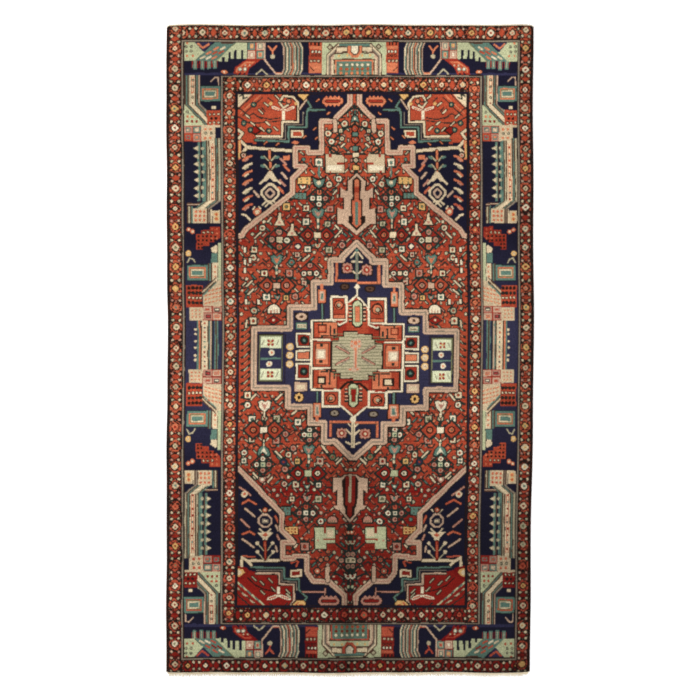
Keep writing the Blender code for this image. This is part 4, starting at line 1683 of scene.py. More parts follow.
# %% Second steps
for stem_low, stem_high, low, high, x, way in (
    (12.2, 19.2, 19.0, 24.2, -11.7, 1), (-22.2, -16.8, -28.0, -22.3, -13.5, -1)
):
    weave(medal, "brown", block(x - 0.75, x + 0.75, stem_low, stem_high))
    weave(medal, "teal", block(x - 0.3, x + 0.3, stem_low, stem_high))
    weave(medal, "brown", block(x - 1.9, x + 1.9, low - 0.4, high + 0.4))
    weave(
        medal, "salmon", block(x - 1.5, x + 1.5, low, high),
        block(
            x - 0.5, x + 0.5,
            *sorted(((high if way > 0 else low), (high + 2.4 if way > 0 else low - 1.6)))
        )
    )
    weave(medal, "outline", block(x - 0.9, x + 0.9, low + 0.8, high - 0.6))
    weave(medal, "teal", block(x - 0.45, x + 0.45, low + 1.4, high - 1.4))
knotted("second steps")

# %% Third steps
for low, high, left, bar in ((27.6, 35.2, -6.1, 27.6), (-36, -29.4, -8.5, -30.2)):
    weave(medal, "salmon", block(left, left + 0.9, low, high), block(left, 4, bar, bar + 0.9))
    weave(medal, "umber", block(left + 0.9, left + 1.2, low, high), block(left, 4, bar - 0.35, bar))
for x, y in ((-1.2, 33.1), (-3.3, -34.5)):
    weave(medal, "brown", block(x - 2.3, x + 2.3, y - 2.2, y + 2.2))
    for dx, dy in (
        (-1.2, -1.2), (1.2, -1.2), (-1.2, 1.2), (1.2, 1.2), (0, 1.5), (0, -1.5), (1.5, 0), (-1.5, 0)
    ):
        weave(medal, "pink", disc(x + dx, y + dy, 0.62))
    weave(medal, "brick", disc(x, y, 1.25))
    weave(medal, "cream", disc(x, y, 0.5))
for x, y, wool in ((-2.3, 25.5, "umber"), (-6.3, -26.3, "stone")):
    weave(medal, "brown", disc(x, y, 2.1, 0.75))
    weave(medal, wool, disc(x, y, 1.5, 0.68))
    weave(medal, "brown", disc(x, y, 0.4))
trunk = [Ground(-abs(x_cm - M_AXIS), y_cm, in_field)]
talim(trunk, """
brown block -1 0.4 28.5 41
teal block -0.6 0.4 28.5 41
cream line 0.7 -0.6,39.5 -2.4,37.4 line 0.7 -0.8,35.8 -2,35.8 line 0.6 -0.6,31 -1.6,31.8
stone block -0.25 0.4 28.5 40
cream block -0.75 0.4 -40.6 -30 line 0.7 -0.6,-35.2 -2.6,-33.2 line 0.7 0,-39.4 -2.9,-38.2 line 0.6
-0.6,-32 -2,-30.6
olive block -0.2 0.4 -40 -30.4""")
knotted("third steps")

# %% Inner medallion: its ivory frame
ivory_frame = (
    (3, 21.9), (2.6, 21.9), (-1.7, 18.3), (-1.7, 21.4), (-7.9, 21.4), (-7.9, 11.8), (-16.0, 11.6),
    (-16.0, -16.7), (-11.3, -16.9), (-11.3, -23.7), (-4.4, -23.5), (-4.4, -22.6), (1.1, -27.4), (3, -27.4)
)
weave(medal, "brick", patch(*ivory_frame))
weave(medal, "brown", line(1.3, *ivory_frame))
weave(medal, "ivory", line(0.75, *ivory_frame))
talim(trunk, """
ivory diamond 0,25.4 1.3 1.5 line 0.7 0,22 0,25 disc 0,-28.8 1.2""")
knotted("inner medallion: its ivory frame")

# %% Boxes beside the arches
for left, right, low, high, split in ((-7.9, -1.7, 11.8, 21.4, 14.2), (-11.3, -4.4, -23.7, -16.9, None)):
    nested(medal, (left, right, low, high), ("ivory", 0), ("brown", 0.5), ("rust", 0.8))
    middle_x, middle_y = (left + right) / 2, (low + high) / 2 + (1.4 if split else 0)
    weave(medal, "brown", disc(middle_x, middle_y, 2.0))
    weave(medal, "salmon", disc(middle_x, middle_y, 1.5))
    weave(medal, "brown", disc(middle_x - 0.3, middle_y - 0.2, 1.0))
    weave(medal, "sage", disc(middle_x - 0.1, middle_y, 0.6))
    if split:
        weave(medal, "brown", block(left + 0.7, right - 0.7, split - 0.2, split + 0.2))
        weave(medal, "salmon", block(left + 1.1, right - 1.1, low + 0.9, split - 0.4))
knotted("boxes beside the arches")


# %% Arches on the middle line
def arch(low, high, bud, band, dark, pale):
    """A red panel with a tall bud in it, from its outline and its dark and pale lines."""
    middle = (low + high) / 2
    weave(medal, "rust", patch(*band))
    weave(medal, "brown", line(*dark))
    weave(medal, "ivory", line(0.7, *pale))
    core = [(0.2, high), (-0.6, high), (-1.8, high - 1.2), (-1.8, low + 1.2), (-0.6, low), (0.2, low)]
    weave(trunk, "brown", patch(*[(x - 0.5 * (x < 0), (y - middle) * 1.1 + middle) for x, y in core]))
    weave(trunk, "green", patch(*core))
    weave(trunk, "olive", block(-1.2, 0.4, low + 1.6, high - 1.8))
    weave(trunk, bud, block(-0.9, 0.4, low + 2.0, high - 2.2))
    for y in np.arange(low + 2.2, high - 1.6, 1.5):
        weave(trunk, "forest", block(-3.7, -2.2, y - 0.35, y + 0.35))
        weave(trunk, "cream", block(-3.5, -2.4, y + 0.4, y + 0.75))


upper_band = ((-1.7, 8.0), (-1.7, 18.4), (3, 21.2), (3, 6.8))
upper_dark = (1.1, (-2.2, 11.4), (-4.8, 9.3), (-7.4, 10.9))
upper_pale = ((-1.7, 18.3), (-1.7, 11.4), (-4.6, 9.9), (-7.2, 11.6))
lower_band = ((-4.4, -13.5), (-4.4, -22.6), (3, -26.8), (3, -12.5))
lower_dark = (1.0, (-4.4, -16.6), (-1.2, -13.6), (3, -13.2))
lower_pale = ((-4.4, -22.6), (-4.4, -16.8), (-6.5, -16.6))
arch(9.2, 19.6, "salmon", upper_band, upper_dark, upper_pale)
arch(-23.6, -14.3, "madder", lower_band, lower_dark, lower_pale)
knotted("arches on the middle line")

# %% Corner panels: a small square, and dark bars that turn
for low, high, way in ((4.4, 11.2, 1), (-16.2, -8.3, -1)):
    nested(medal, (-15.4, -5.4, low, high), ("brown", 0), ("salmon", 0.35))
    weave(medal, "rust", block(-15.0, -12.8, low + 0.4, high - 0.4))
    outer, inner = (high, low) if way > 0 else (low, high)
    y = (outer + inner) / 2 + 0.6 * way
    nested(
        medal, (-13.6, -9.9, y - 1.7, y + 1.7), ("brown", 0), ("rust" if way > 0 else "brown", 0.4),
        ("cream" if way < 0 else "salmon", 0.75)
    )
    weave(
        medal, "forest", block(-12.2, -9.0, *sorted((inner + way * 0.6, inner + way * 1.3))),
        block(-8.8, -8.0, *sorted((inner + way * 0.6, outer - way * 1.6))),
        block(-8.8, -5.8, *sorted((inner + way * 0.6, inner + way * 1.3))),
        block(-7.0, -6.2, *sorted((inner + way * 1.6, inner + way * 4.0))),
        block(-12.1, -11.4, *sorted((outer - way * 0.4, outer - way * 1.4)))
    )
knotted("corner panels: a small square, and dark bars that turn")

# %% Side panels
talim(medal, """
ivory line 0.7 -16,3.8 -8.8,3.8 -7.6,2.2 line 0.7 -16,-7.9 -8.8,-7.9 -7.8,-6.8""")
nested(medal, (-15.5, -8.0, -7.5, 3.4), ("brown", 0), ("rust", 0.35), ("umber", 1.0), ("salmon", 1.3))
talim(medal, """
forest block -12.8 -11.4 0.8 2 block -12.8 -11.4 -5.8 -4.6
outline block -14 -10.2 -4.2 0
ivory block -13.4 -10.8 -3.6 -0.6""")
knotted("side panels")

# %% Sage middle with its pale flower
middle = (
    (3, 7.0), (-2.8, 7.0), (-2.8, 5.0), (-4.8, 5.0), (-4.8, 3.0), (-7.6, 3.0), (-7.6, -8.2), (-5.8, -8.2),
    (-5.8, -9.8), (-4.0, -9.8), (-4.0, -11.9), (3, -11.9)
)
weave(medal, "brown", patch(*[(x - 0.4 * (x < 0), y + 0.4 * (1 if y > -2 else -1)) for x, y in middle]))
weave(medal, "sage", patch(*middle))
for count in range(14):
    weave(medal, "olive", block(-7.4, 3, 6.0 - 1.32 * count, 6.3 - 1.32 * count))
talim(trunk, """
outline disc 0,2 2.3 block -0.8 0.4 -8.6 2 diamond 0,-8.2 3 1.3
salmon disc 0,2.4 0.8 block -0.3 0.4 -7.6 0.6 disc -1.4,1.2 0.45 disc -1.5,3 0.45 disc -1.6,-8.3 0.4""")
for way in (1, -1):
    base, tip = -2.6 + way * 0.9, -2.6 + way * 3.7
    weave(trunk, "umber", line(1.0, (-2.8, base), (-8.0, tip)))
    weave(trunk, "pink", line(0.55, (-2.8, base), (-7.8, tip)))
    weave(trunk, "stone", line(0.5, (-3.2, base + way * 0.9), (-6.2, tip + way * 0.6)))
knotted("sage middle with its pale flower")

# %% The lines once more
frame_lines()
knotted("lines between the bands, again")

# %% [markdown]
# ## Abrash, painted light and shade, and zones
# The red yarn was dyed in many small lots: rust at the top end and crimson at the bottom, with darker
# bands between. The pile also leans, and where the rug was folded it lies the other way. Light and
# shade are painted into the knots' colour too: painted shade along the folds and towards the bottom end
# and the right edge, and painted patches of light and shade.

# %% Bands of red, and the painted light and shade
RED_BANDS = (
    *((-133, 1.0), (-121, 0.95), (-112, 0.75), (-104, 0.95), (-92, 0.85), (-80, 0.68), (-66, 0.7)),
    *((-58, 0.85), (-50, 0.5), (-40, 0.3), (-20, 0.3), (0, 0.18), (20, 0.22), (36, 0.25)),
    *((44, 0.6), (56, 0.62), (64, 0.55), (69, 0.15), (90, 0.1), (133, 0.05)),
)
fold_x, fold_y = axis - 1.0, -52


def bump(x, y, wide, tall):
    """One at a place on the rug, fading to nothing around it."""
    return np.exp(-(((x_cm - x) / wide) ** 2) - ((y_cm - y) / tall) ** 2)


def eased(share):
    share = np.clip(share, 0, 1)
    return share * share * (3 - 2 * share)


# Painted shade along the creases where the rug was folded, down the middle line and across the lower half.
painted_light_and_shade = 1 - 0.30 * np.exp(-(((x_cm - fold_x) / 2.4) ** 2)) * np.clip((-20 - y_cm) / 30, 0, 1)
painted_light_and_shade -= 0.12 * np.exp(-(((x_cm - fold_x) / 7) ** 2)) * np.clip((-10 - y_cm) / 40, 0, 1)
painted_light_and_shade -= 0.10 * bump(0, fold_y, 45, 5) + 0.08 * bump(0, -88, 200, 6) + 0.06 * bump(0, -72, 200, 4)
# Painted pools of light and patches of painted shade.
painted_light_and_shade += 0.20 * bump(-62, -24, 18, 22) + 0.14 * bump(0, 20, 26, 26)
painted_light_and_shade += 0.16 * bump(30, 112, 50, 14) - 0.10 * bump(66, -30, 14, 40)
painted_light_and_shade -= 0.16 * bump(-62, 112, 26, 26) + 0.16 * bump(-38, 62, 9, 18) + 0.10 * bump(38, 62, 9, 18)
# Painted fall of light: darker towards the bottom end, most on the right, and every knot dimmed to three
# quarters.
painted_light_and_shade *= 0.75 * (1 - 0.30 * eased((-y_cm - 20) / 80) * (0.12 + 0.88 * eased((x_cm + 72) / 70)))
# Painted shade along the right edge and at the bottom end.
painted_light_and_shade *= (1 - 0.22 * eased((x_cm - 66) / 4)) * (1 - 0.2 * eased((-y_cm - 122) / 6))
# Slow painted patches of light and shade all over.
painted_light_and_shade *= 1 + wander(65, 0.08, 20)
print("nap from", painted_light_and_shade.min().round(3), "to", painted_light_and_shade.max().round(3))


# %% Zones of the pile
MEDALLION_MIDDLE = -4.2


def mended(zone):
    """A mask without knots that touch only at a corner."""
    zone = zone.copy()
    for _ in range(4):
        a, b, c, d = zone[:-1, :-1], zone[:-1, 1:], zone[1:, :-1], zone[1:, 1:]
        crossed = (a & d & ~b & ~c) | (b & c & ~a & ~d)
        if not crossed.any():
            break
        for part in (a, b, c, d):
            part[crossed] = True
    return zone


def frame_zones(name, ring, edge):
    """The four strips of one band. The side ones run its full length."""
    left, right = x_cm < SIDE_LINES["left"][edge], x_cm > SIDE_LINES["right"][edge]
    middle = ~left & ~right
    parts = {"left": left, "right": right, "bottom": middle & (y_cm < 0), "top": middle & (y_cm > 0)}
    return {f"pile_{name}_{place}": ring & part for place, part in parts.items()}


def zones():
    """Every zone's mask, by its CAD node."""
    made = {**frame_zones("outer_guard", in_outer, 1), **frame_zones("main_border", in_border, 2)}
    made.update(frame_zones("inner_guard", in_inner, 3))
    made["pile_medallion"] = mended(patch(*MEDALLION)[0](m_u, m_v) & in_field)
    corners = np.zeros_like(in_field)
    for place, line_points, far in (("top", TOP_CORNER, 107), ("bottom", BOTTOM_CORNER, -107)):
        corner = patch(*line_points, (-47, far))[0](u_mirror, y_cm) & in_field
        for side, half in (("left", left_half), ("right", ~left_half)):
            made[f"pile_corner_{place}_{side}"] = mended(corner & half)
            corners |= made[f"pile_corner_{place}_{side}"]
    rest = in_field & ~made["pile_medallion"] & ~corners
    made["pile_field_upper"] = mended(rest & (y_cm > MEDALLION_MIDDLE))
    made["pile_field_lower"] = mended(rest & (y_cm < MEDALLION_MIDDLE))
    return made


masks = zones()
print({name: int(mask.sum()) for name, mask in masks.items()})

# %% [markdown]
# ## From dye to daylight
# Wool is dyed in small batches, so its colour changes in bands along the weaving, which is called abrash.
# Single knots differ too, because the yarn is spun by hand. A flat colour could be given to each zone, but
# it would look printed. So every knot gets a colour of its own: its wool's, times the band, the patch and
# the knot's own share.

# %% The dyed wools
# The third colour is a painted light: the shade navy takes where more light falls on it.
DEEP_CORAL, DEEP_RED, LIT_NAVY = (176, 72, 52), (120, 16, 14), (52, 50, 74)


def daylight(shades):
    """Screen shades from 0 to 255 as the linear colour that a shader needs."""
    share = np.array(shades) / 255
    return np.where(share < 0.04045, share / 12.92, ((share + 0.055) / 1.055) ** 2.4)


def of_wool(*wools):
    """One for each knot of the given wools, and zero for the others."""
    return np.isin(design, [names.index(wool) for wool in wools])[..., None]


numbers = np.random.default_rng(19)
knot_colours = np.array([daylight(WOOLS[name]) for name in names])[design]
depth = np.interp(y_cm, *zip(*RED_BANDS)) + wander(61, 0.16, 9) + wander(62, 0.12, 3.4)
depth = np.clip(depth + 0.10 * numbers.standard_normal((ROWS, 1)), 0, 1)[..., None]
depth = depth * of_wool("rust", "brick", "salmon", "coral")
deep = np.where(of_wool("salmon", "coral"), daylight(DEEP_CORAL), daylight(DEEP_RED))
knot_colours = knot_colours * (1 - depth) + deep * depth
# Painted light: navy knots are lightened across the middle of the rug, most near its centre line.
painted_light_on_navy = np.clip(1.1 - abs(y_cm + 2) / 42, 0, 0.8)[..., None] * of_wool("navy")
knot_colours = knot_colours * (1 - painted_light_on_navy) + daylight(LIT_NAVY) * painted_light_on_navy
print("mean colour as dyed", knot_colours.mean((0, 1)).round(3))

# %% The colour of every knot
patchy = wander(63, 0.10, 14) + wander(64, 0.07, 4) + 0.03 * numbers.standard_normal((ROWS, 1))
own = np.clip(numbers.normal(1, 0.11, (ROWS, COLUMNS)), 0.6, 1.5)
# Years of wear have matted the tips, so neighbouring knots run into each other a little.
for axis_over in (0, 1):
    beside = np.roll(knot_colours, 1, axis_over) + np.roll(knot_colours, -1, axis_over)
    knot_colours = 0.74 * knot_colours + 0.13 * beside
# The painted light and shade is multiplied in here, with the abrash patches and each knot's own share.
knot_colours = knot_colours * ((1 + patchy) * own * painted_light_and_shade)[..., None]
print("mean colour as worn", knot_colours.mean((0, 1)).round(3))

# %% [markdown]
# ## How the rug lies
# A handmade rug is never quite straight. Its sides draw in where the tension was higher, and this one
# narrows towards one end. The whole piece is made straight, and each piece is moved by the same
# rule at the end, so the layers stay together.


# %% The lie of the rug
def settled(x, y, z):
    """A place on the straight rug, moved to where it lies."""
    y_here = y * 100
    right = np.interp(y_here, (-133, -90, -40, -10, 60, 133), (-1.1, -0.75, 0.1, 0.45, 0.4, 0.3))
    right = right + 0.12 * np.sin(y_here / 9.1) + 0.1 * np.sin(y_here / 23 + 1)
    left = np.interp(y_here, (-133, -60, 15, 60, 133), (-0.3, -0.25, 0.25, -0.25, -0.3))
    left = left + 0.1 * np.sin(y_here / 11.3 + 2) + 0.06 * np.sin(y_here / 5.1)
    share = np.clip(x / 1.5 + 0.5, 0, 1)
    ends = np.clip(abs(y) / 1.33, 0, 1) ** 8
    drop = 0.14 * np.sin(x * 100 / 12.5 + np.sign(y)) + 0.1 * np.sin(x * 100 / 5.3)
    rounded = np.clip(abs(x) / 0.75, 0, 1) ** 24 * 0.5
    sideways = (left * (1 - share) + right * share) / 100
    along = ends * (drop - np.sign(y) * rounded) / 100
    return x + sideways, y + along, z


def read_out(rows, name, width=1, kind=float):
    """A value of every point, corner or face of a mesh, as one array for each of its parts."""
    values = np.empty(len(rows) * width, kind)
    rows.foreach_get(name, values)
    return values.reshape(-1, width).T if width > 1 else values


def move_points(piece, x, y, z):
    piece.data.vertices.foreach_set("co", np.stack((x, y, z), axis=1).ravel())
    piece.data.update()


def settle(piece):
    """Moves every point of a finished straight piece to where it lies."""
    move_points(piece, *settled(*read_out(piece.data.vertices, "co", 3)))


moved = settled(COLUMNS * KNOT / 200, 0.0, 0.0)
print("the middle of the right side moves to", [round(float(value), 4) for value in moved])


# %% Small helpers for modelling
def nothing_selected():
    for thing in bpy.data.objects:
        thing.select_set(False)


def only(piece):
    """Selects one piece and nothing else."""
    nothing_selected()
    bpy.context.view_layer.objects.active = piece
    piece.select_set(True)


def begin(piece, mode="FACE"):
    """Opens one piece in edit mode, with nothing selected."""
    only(piece)
    bpy.ops.object.mode_set(mode="EDIT")
    bpy.ops.mesh.select_mode(type=mode)
    bpy.ops.mesh.select_all(action="DESELECT")


def end():
    bpy.ops.object.mode_set(mode="OBJECT")


def apply_place(piece):
    """Puts the object at the origin, with its place and size in its mesh."""
    only(piece)
    bpy.ops.object.transform_apply(location=True, rotation=True, scale=True)


def smooth(piece, degrees=50):
    only(piece)
    bpy.ops.object.shade_smooth_by_angle(angle=math.radians(degrees))


def without_maps(piece):
    """Removes the primitive's own UV map, so that the piece's only map is the one made for it."""
    while piece.data.uv_layers:
        piece.data.uv_layers.remove(piece.data.uv_layers[0])


def grid_piece(name, across, along, size, place):
    """A flat grid of the given number of faces, with its size and place in its mesh."""
    nothing_selected()
    bpy.ops.mesh.primitive_grid_add(x_subdivisions=across, y_subdivisions=along, size=1, location=place)
    piece = bpy.context.object
    piece.name = piece.data.name = name
    piece.scale = (*size, 1)
    apply_place(piece)
    without_maps(piece)
    return piece


def walled(piece, rise):
    """Extrudes a sheet's open edge up or down and fills it, so the piece is closed."""
    begin(piece, "EDGE")
    bpy.ops.mesh.select_non_manifold()
    bpy.ops.mesh.extrude_edges_move(TRANSFORM_OT_translate={"value": (0, 0, rise)})
    bpy.ops.mesh.edge_face_add()
    bpy.ops.mesh.select_all(action="SELECT")
    bpy.ops.mesh.normals_make_consistent(inside=False)
    end()


def cut_lengthwise(piece, way, least, cuts):
    """Subdivides the edges that run along one axis for more than the given length."""
    points = read_out(piece.data.vertices, "co", 3)[way]
    first, last = read_out(piece.data.edges, "vertices", 2, int)
    begin(piece, "EDGE")
    end()
    piece.data.edges.foreach_set("select", abs(points[first] - points[last]) > least)
    bpy.ops.object.mode_set(mode="EDIT")
    bpy.ops.mesh.subdivide(number_cuts=cuts)
    bpy.ops.mesh.select_all(action="DESELECT")
    end()


def belongs(piece, material, slot, *nodes):
    """Gives a piece its material, hangs it on the root body and hides the CAD parts it replaces."""
    piece.data.materials.clear()
    piece.data.materials.append(material)
    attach(piece, "root")
    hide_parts(*nodes)
    return piece


# %% [markdown]
# ## Wool
# Pile wool is matt and soft. Light catches the cut ends of the hairs, so it has a little sheen, and no
# gloss. The colour comes from each knot, through an attribute of the mesh. Two noises are laid on it: a fine
# one for the hairs and a coarser one for tufts that lean. A bump from the same noises makes the surface
# rough, which costs no faces.


# %% Nodes that the finishes share
def link(tree, start, out, stop, into):
    tree.links.new(start.outputs[out], stop.inputs[into])


def node_with(tree, kind, **values):
    """A node with some of its sockets set by name, where an underscore stands for a space."""
    made = tree.nodes.new("ShaderNode" + kind)
    for name, value in values.items():
        made.inputs[name.replace("_", " ")].default_value = value
    return made


def new_material(name, roughness, sheen=0.0, tint=(1, 1, 1)):
    made = bpy.data.materials.new(name)
    made.use_nodes = True
    shader = made.node_tree.nodes["Principled BSDF"]
    shader.inputs["Roughness"].default_value = roughness
    shader.inputs["Sheen Weight"].default_value = sheen
    shader.inputs["Sheen Roughness"].default_value = 0.5
    shader.inputs["Sheen Tint"].default_value = (*tint, 1)
    shader.inputs["Specular IOR Level"].default_value = 0.06
    return made, made.node_tree, shader


def noise_node(tree, scale, detail, stretch=(1, 1, 1)):
    """A noise on the object's own coordinates, stretched along an axis where the share is small."""
    place, mapping = tree.nodes.new("ShaderNodeTexCoord"), node_with(tree, "Mapping", Scale=stretch)
    noise = node_with(tree, "TexNoise", Scale=scale, Detail=detail, Roughness=0.55)
    link(tree, place, "Object", mapping, "Vector")
    link(tree, mapping, "Vector", noise, "Vector")
    return noise


def ramp_node(tree, source, positions, colours):
    """Turns the middle of a noise into a range from one colour to another."""
    ramp = tree.nodes.new("ShaderNodeValToRGB")
    for element, position, colour in zip(ramp.color_ramp.elements, positions, colours):
        element.position, element.color = position, (*colour, 1)
    link(tree, source, "Fac", ramp, "Fac")
    return ramp


def spread(tree, source, low, high, dark, light):
    return ramp_node(tree, source, (low, high), ((dark,) * 3, (light,) * 3))


def multiplied(tree, shader, first, *others):
    """Multiplies a node's colour by those of others, into the shader's base colour."""
    colour = first.outputs["Color"]
    for other in others:
        mix = tree.nodes.new("ShaderNodeMix")
        mix.data_type, mix.blend_type = "RGBA", "MULTIPLY"
        mix.inputs[0].default_value = 1.0
        tree.links.new(colour, mix.inputs[6])
        tree.links.new(other.outputs["Color"], mix.inputs[7])
        colour = mix.outputs[2]
    tree.links.new(colour, shader.inputs["Base Color"])


def bumped(tree, shader, sources, distance, strength):
    """Adds one bump to the shader from several noises, each with its share."""
    total = None
    for source, share in sources:
        height = tree.nodes.new("ShaderNodeMath")
        height.operation = "MULTIPLY"
        height.inputs[1].default_value = share
        link(tree, source, "Fac", height, 0)
        if total:
            added = tree.nodes.new("ShaderNodeMath")
            added.operation = "ADD"
            link(tree, total, 0, added, 0)
            link(tree, height, 0, added, 1)
            height = added
        total = height
    bump = node_with(tree, "Bump", Strength=strength, Distance=distance)
    link(tree, total, 0, bump, "Height")
    link(tree, bump, "Normal", shader, "Normal")


print("all noises lie on Object coordinates")


# %% Pile wools
def pile_wool(name, roughness, sheen, tint):
    """Knotted wool: the knot's own colour under a fine and a coarse noise."""
    made, tree, shader = new_material(name, roughness, sheen, tint)
    colour = tree.nodes.new("ShaderNodeAttribute")
    colour.attribute_name = "wool"
    hairs, tufts = noise_node(tree, 1500, 2), noise_node(tree, 210, 3, (1, 0.55, 1))
    fine, coarse = spread(tree, hairs, 0.3, 0.7, 0.80, 1.16), spread(tree, tufts, 0.32, 0.68, 0.80, 1.14)
    multiplied(tree, shader, colour, fine, coarse)
    bumped(tree, shader, ((hairs, 0.35), (tufts, 1.0)), 0.0016, 0.7)
    return made


RED_WOOL = pile_wool("rust wool pile", 0.88, 0.05, (1.0, 0.72, 0.60))
CRIMSON_WOOL = pile_wool("madder wool pile", 0.88, 0.05, (1.0, 0.66, 0.58))
BLUE_WOOL = pile_wool("navy wool pile", 0.86, 0.03, (0.70, 0.76, 1.0))
GREEN_WOOL = pile_wool("border wool pile", 0.88, 0.05, (0.86, 0.90, 0.86))
LIGHT_WOOL = pile_wool("sage wool pile", 0.90, 0.05, (0.96, 0.94, 0.82))
print("pile wools", len(bpy.data.materials))

# %% [markdown]
# ## The pile, zone by zone
# A tied knot stands as a little tuft with a flat cut top. Half a million separate tufts would be far too
# heavy, so one face stands for each knot. A zone starts as a grid with the knots' pitch. The faces outside
# the zone are deleted, its open edge is extruded down to the foundation, and the bottom is filled. Its
# points then move a little up, down and sideways, as cut tufts do, and the dark brown knots go lower,
# because that dye eats the wool.

# %% How the tufts stand
PILE_TOP, PILE_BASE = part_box("pile_medallion")[1][2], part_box("pile_medallion")[0][2]
KNOT_M = KNOT / 100
HALF_WIDTH, HALF_LENGTH = COLUMNS * KNOT_M / 2, ROWS * KNOT_M / 2
LEAN, CLIPPING, EATEN = 0.00035, 0.0006, 0.0007

numbers = np.random.default_rng(23)
lean_x, lean_y = numbers.uniform(-LEAN, LEAN, (2, ROWS + 1, COLUMNS + 1))
cut = numbers.uniform(-CLIPPING, 0, (ROWS + 1, COLUMNS + 1))
eaten = np.pad(design == names.index("brown"), 1, mode="edge").astype(float)
eaten = (eaten[:-1, :-1] + eaten[1:, :-1] + eaten[:-1, 1:] + eaten[1:, 1:]) / 4
cut = cut - EATEN * eaten
print("pile height", round(PILE_TOP - PILE_BASE, 4), "lowest cut", round(float(cut.min()), 5))


# %% Colours and UV map of a sheet of knots
def knot_of(x, y):
    """The row and column of the knot that a place lies in."""
    rows, columns = ((y + HALF_LENGTH) / KNOT_M).astype(int), ((x + HALF_WIDTH) / KNOT_M).astype(int)
    return np.clip(rows, 0, ROWS - 1), np.clip(columns, 0, COLUMNS - 1)


def paint_knots(piece, top_only=True):
    """Gives every face the colour of the knot it stands for. Faces below the top get painted shade."""
    mesh = piece.data
    x, y, z = read_out(mesh.polygons, "center", 3)
    colours = knot_colours[knot_of(x, y)]
    # Painted shade: faces below the top of the pile are darkened to six tenths of the knot's colour.
    if top_only:
        colours = colours * np.where(
            z > PILE_BASE + 0.9 * (PILE_TOP - PILE_BASE) - 0.001, 1, 0.6
        )[:, None]
    counts = read_out(mesh.polygons, "loop_total", kind=int)
    attribute = mesh.attributes.new("wool", "FLOAT_COLOR", "CORNER")
    rgba = np.concatenate((colours, np.ones((len(colours), 1))), axis=1)
    attribute.data.foreach_set("color", np.repeat(rgba, counts, axis=0).ravel())


def flat_unwrap(piece, up=1):
    """A UV map seen from above. Faces that don't look up share one small corner of it."""
    mesh = piece.data
    flat = read_out(mesh.vertices, "co", 3)[:2].T
    low, high = flat.min(0), flat.max(0)
    uv = (0.02 + 0.97 * (flat - low) / (high - low))[read_out(mesh.loops, "vertex_index", kind=int)]
    facing = up * read_out(mesh.polygons, "normal", 3)[2]
    hidden = np.repeat(facing < 0.3, read_out(mesh.polygons, "loop_total", kind=int))
    uv[hidden] = 0.002 + 0.012 * uv[hidden]
    mesh.uv_layers.new(name="OFBake").data.foreach_set("uv", uv.ravel())


print("knot at the middle", [int(place) for place in knot_of(np.zeros(1), np.zeros(1))])


# %% A zone of knots
def knot_sheet(name, zone, material, slot, node):
    """One zone of the pile, from a mask with a place for each knot."""
    rows, columns = np.nonzero(zone)
    low_row, high_row, left, right = rows.min(), rows.max() + 1, columns.min(), columns.max() + 1
    wide, tall = int(right - left), int(high_row - low_row)
    flat = (wide * KNOT_M, tall * KNOT_M)
    middle = ((left + right) / 2 * KNOT_M - HALF_WIDTH, (low_row + high_row) / 2 * KNOT_M - HALF_LENGTH)
    piece = grid_piece(name, wide, tall, flat, (*middle, PILE_TOP))
    x, y, _ = read_out(piece.data.polygons, "center", 3)
    outside_zone = ~zone[knot_of(x, y)]
    begin(piece)
    end()
    piece.data.polygons.foreach_set("select", outside_zone)
    bpy.ops.object.mode_set(mode="EDIT")
    if outside_zone.any():
        bpy.ops.mesh.delete(type="FACE")
    end()
    walled(piece, PILE_BASE - PILE_TOP)
    paint_knots(piece)
    flat_unwrap(piece)
    x, y, z = read_out(piece.data.vertices, "co", 3)
    i, j = np.round(
        (y + HALF_LENGTH) / KNOT_M
    ).astype(int), np.round((x + HALF_WIDTH) / KNOT_M).astype(int)
    top = z > (PILE_TOP + PILE_BASE) / 2
    move_points(piece, x + lean_x[i, j], y + lean_y[i, j], z + np.where(top, cut[i, j], 0))
    settle(piece)
    smooth(piece, 60)
    belongs(piece, material, slot, node)
    print(name, "knots", int(zone.sum()), "faces", len(piece.data.polygons))


# %% All the zones
FINISHES = {
    "outer_guard": (RED_WOOL, "rust_wool"),
    "main_border": (GREEN_WOOL, "border_wool"),
    "inner_guard": (RED_WOOL, "rust_wool"),
    "corner": (BLUE_WOOL, "navy_wool"),
    "medallion": (LIGHT_WOOL, "sage_wool"),
    "field_upper": (RED_WOOL, "rust_wool"),
    "field_lower": (CRIMSON_WOOL, "madder_wool"),
}
for node, mask in masks.items():
    finish = next(value for key, value in FINISHES.items() if key in node)
    knot_sheet(node.replace("pile_", "knots_"), mask, *finish, node)
print("zones of pile", len(masks))

# %% [markdown]
# ## The foundation
# Under the pile lies the cotton web, and its back shows the whole design again, flat and clear, because
# every knot goes round two warps. It could be one plain slab, but a rug is often turned over to be judged.
# The back is a grid like the pile's, a little coarser, that takes its colours from the same knots.


# %% What the back is made of
def woven_material(name):
    """The back's flat knots, with a thin line of weft between them."""
    made, tree, shader = new_material(name, 0.92)
    colour, place = tree.nodes.new("ShaderNodeAttribute"), tree.nodes.new("ShaderNodeTexCoord")
    colour.attribute_name = "wool"
    threads = node_with(tree, "TexBrick", Scale=1 / (2 * KNOT_M), Brick_Width=0.5, Row_Height=0.5)
    wefts = {"Mortar": (0.62, 0.58, 0.52, 1), "Mortar Size": 0.06, "Mortar Smooth": 0.5}
    knots = {"Color1": (1.0, 1.0, 1.0, 1), "Color2": (0.86, 0.86, 0.86, 1)}
    for socket, value in {**wefts, **knots}.items():
        threads.inputs[socket].default_value = value
    link(tree, place, "Object", threads, "Vector")
    hairs = noise_node(tree, 900, 2)
    multiplied(tree, shader, colour, threads, spread(tree, hairs, 0.3, 0.7, 0.82, 1.12))
    bumped(tree, shader, ((hairs, 0.5), (threads, -0.8)), 0.0005, 0.6)
    return made


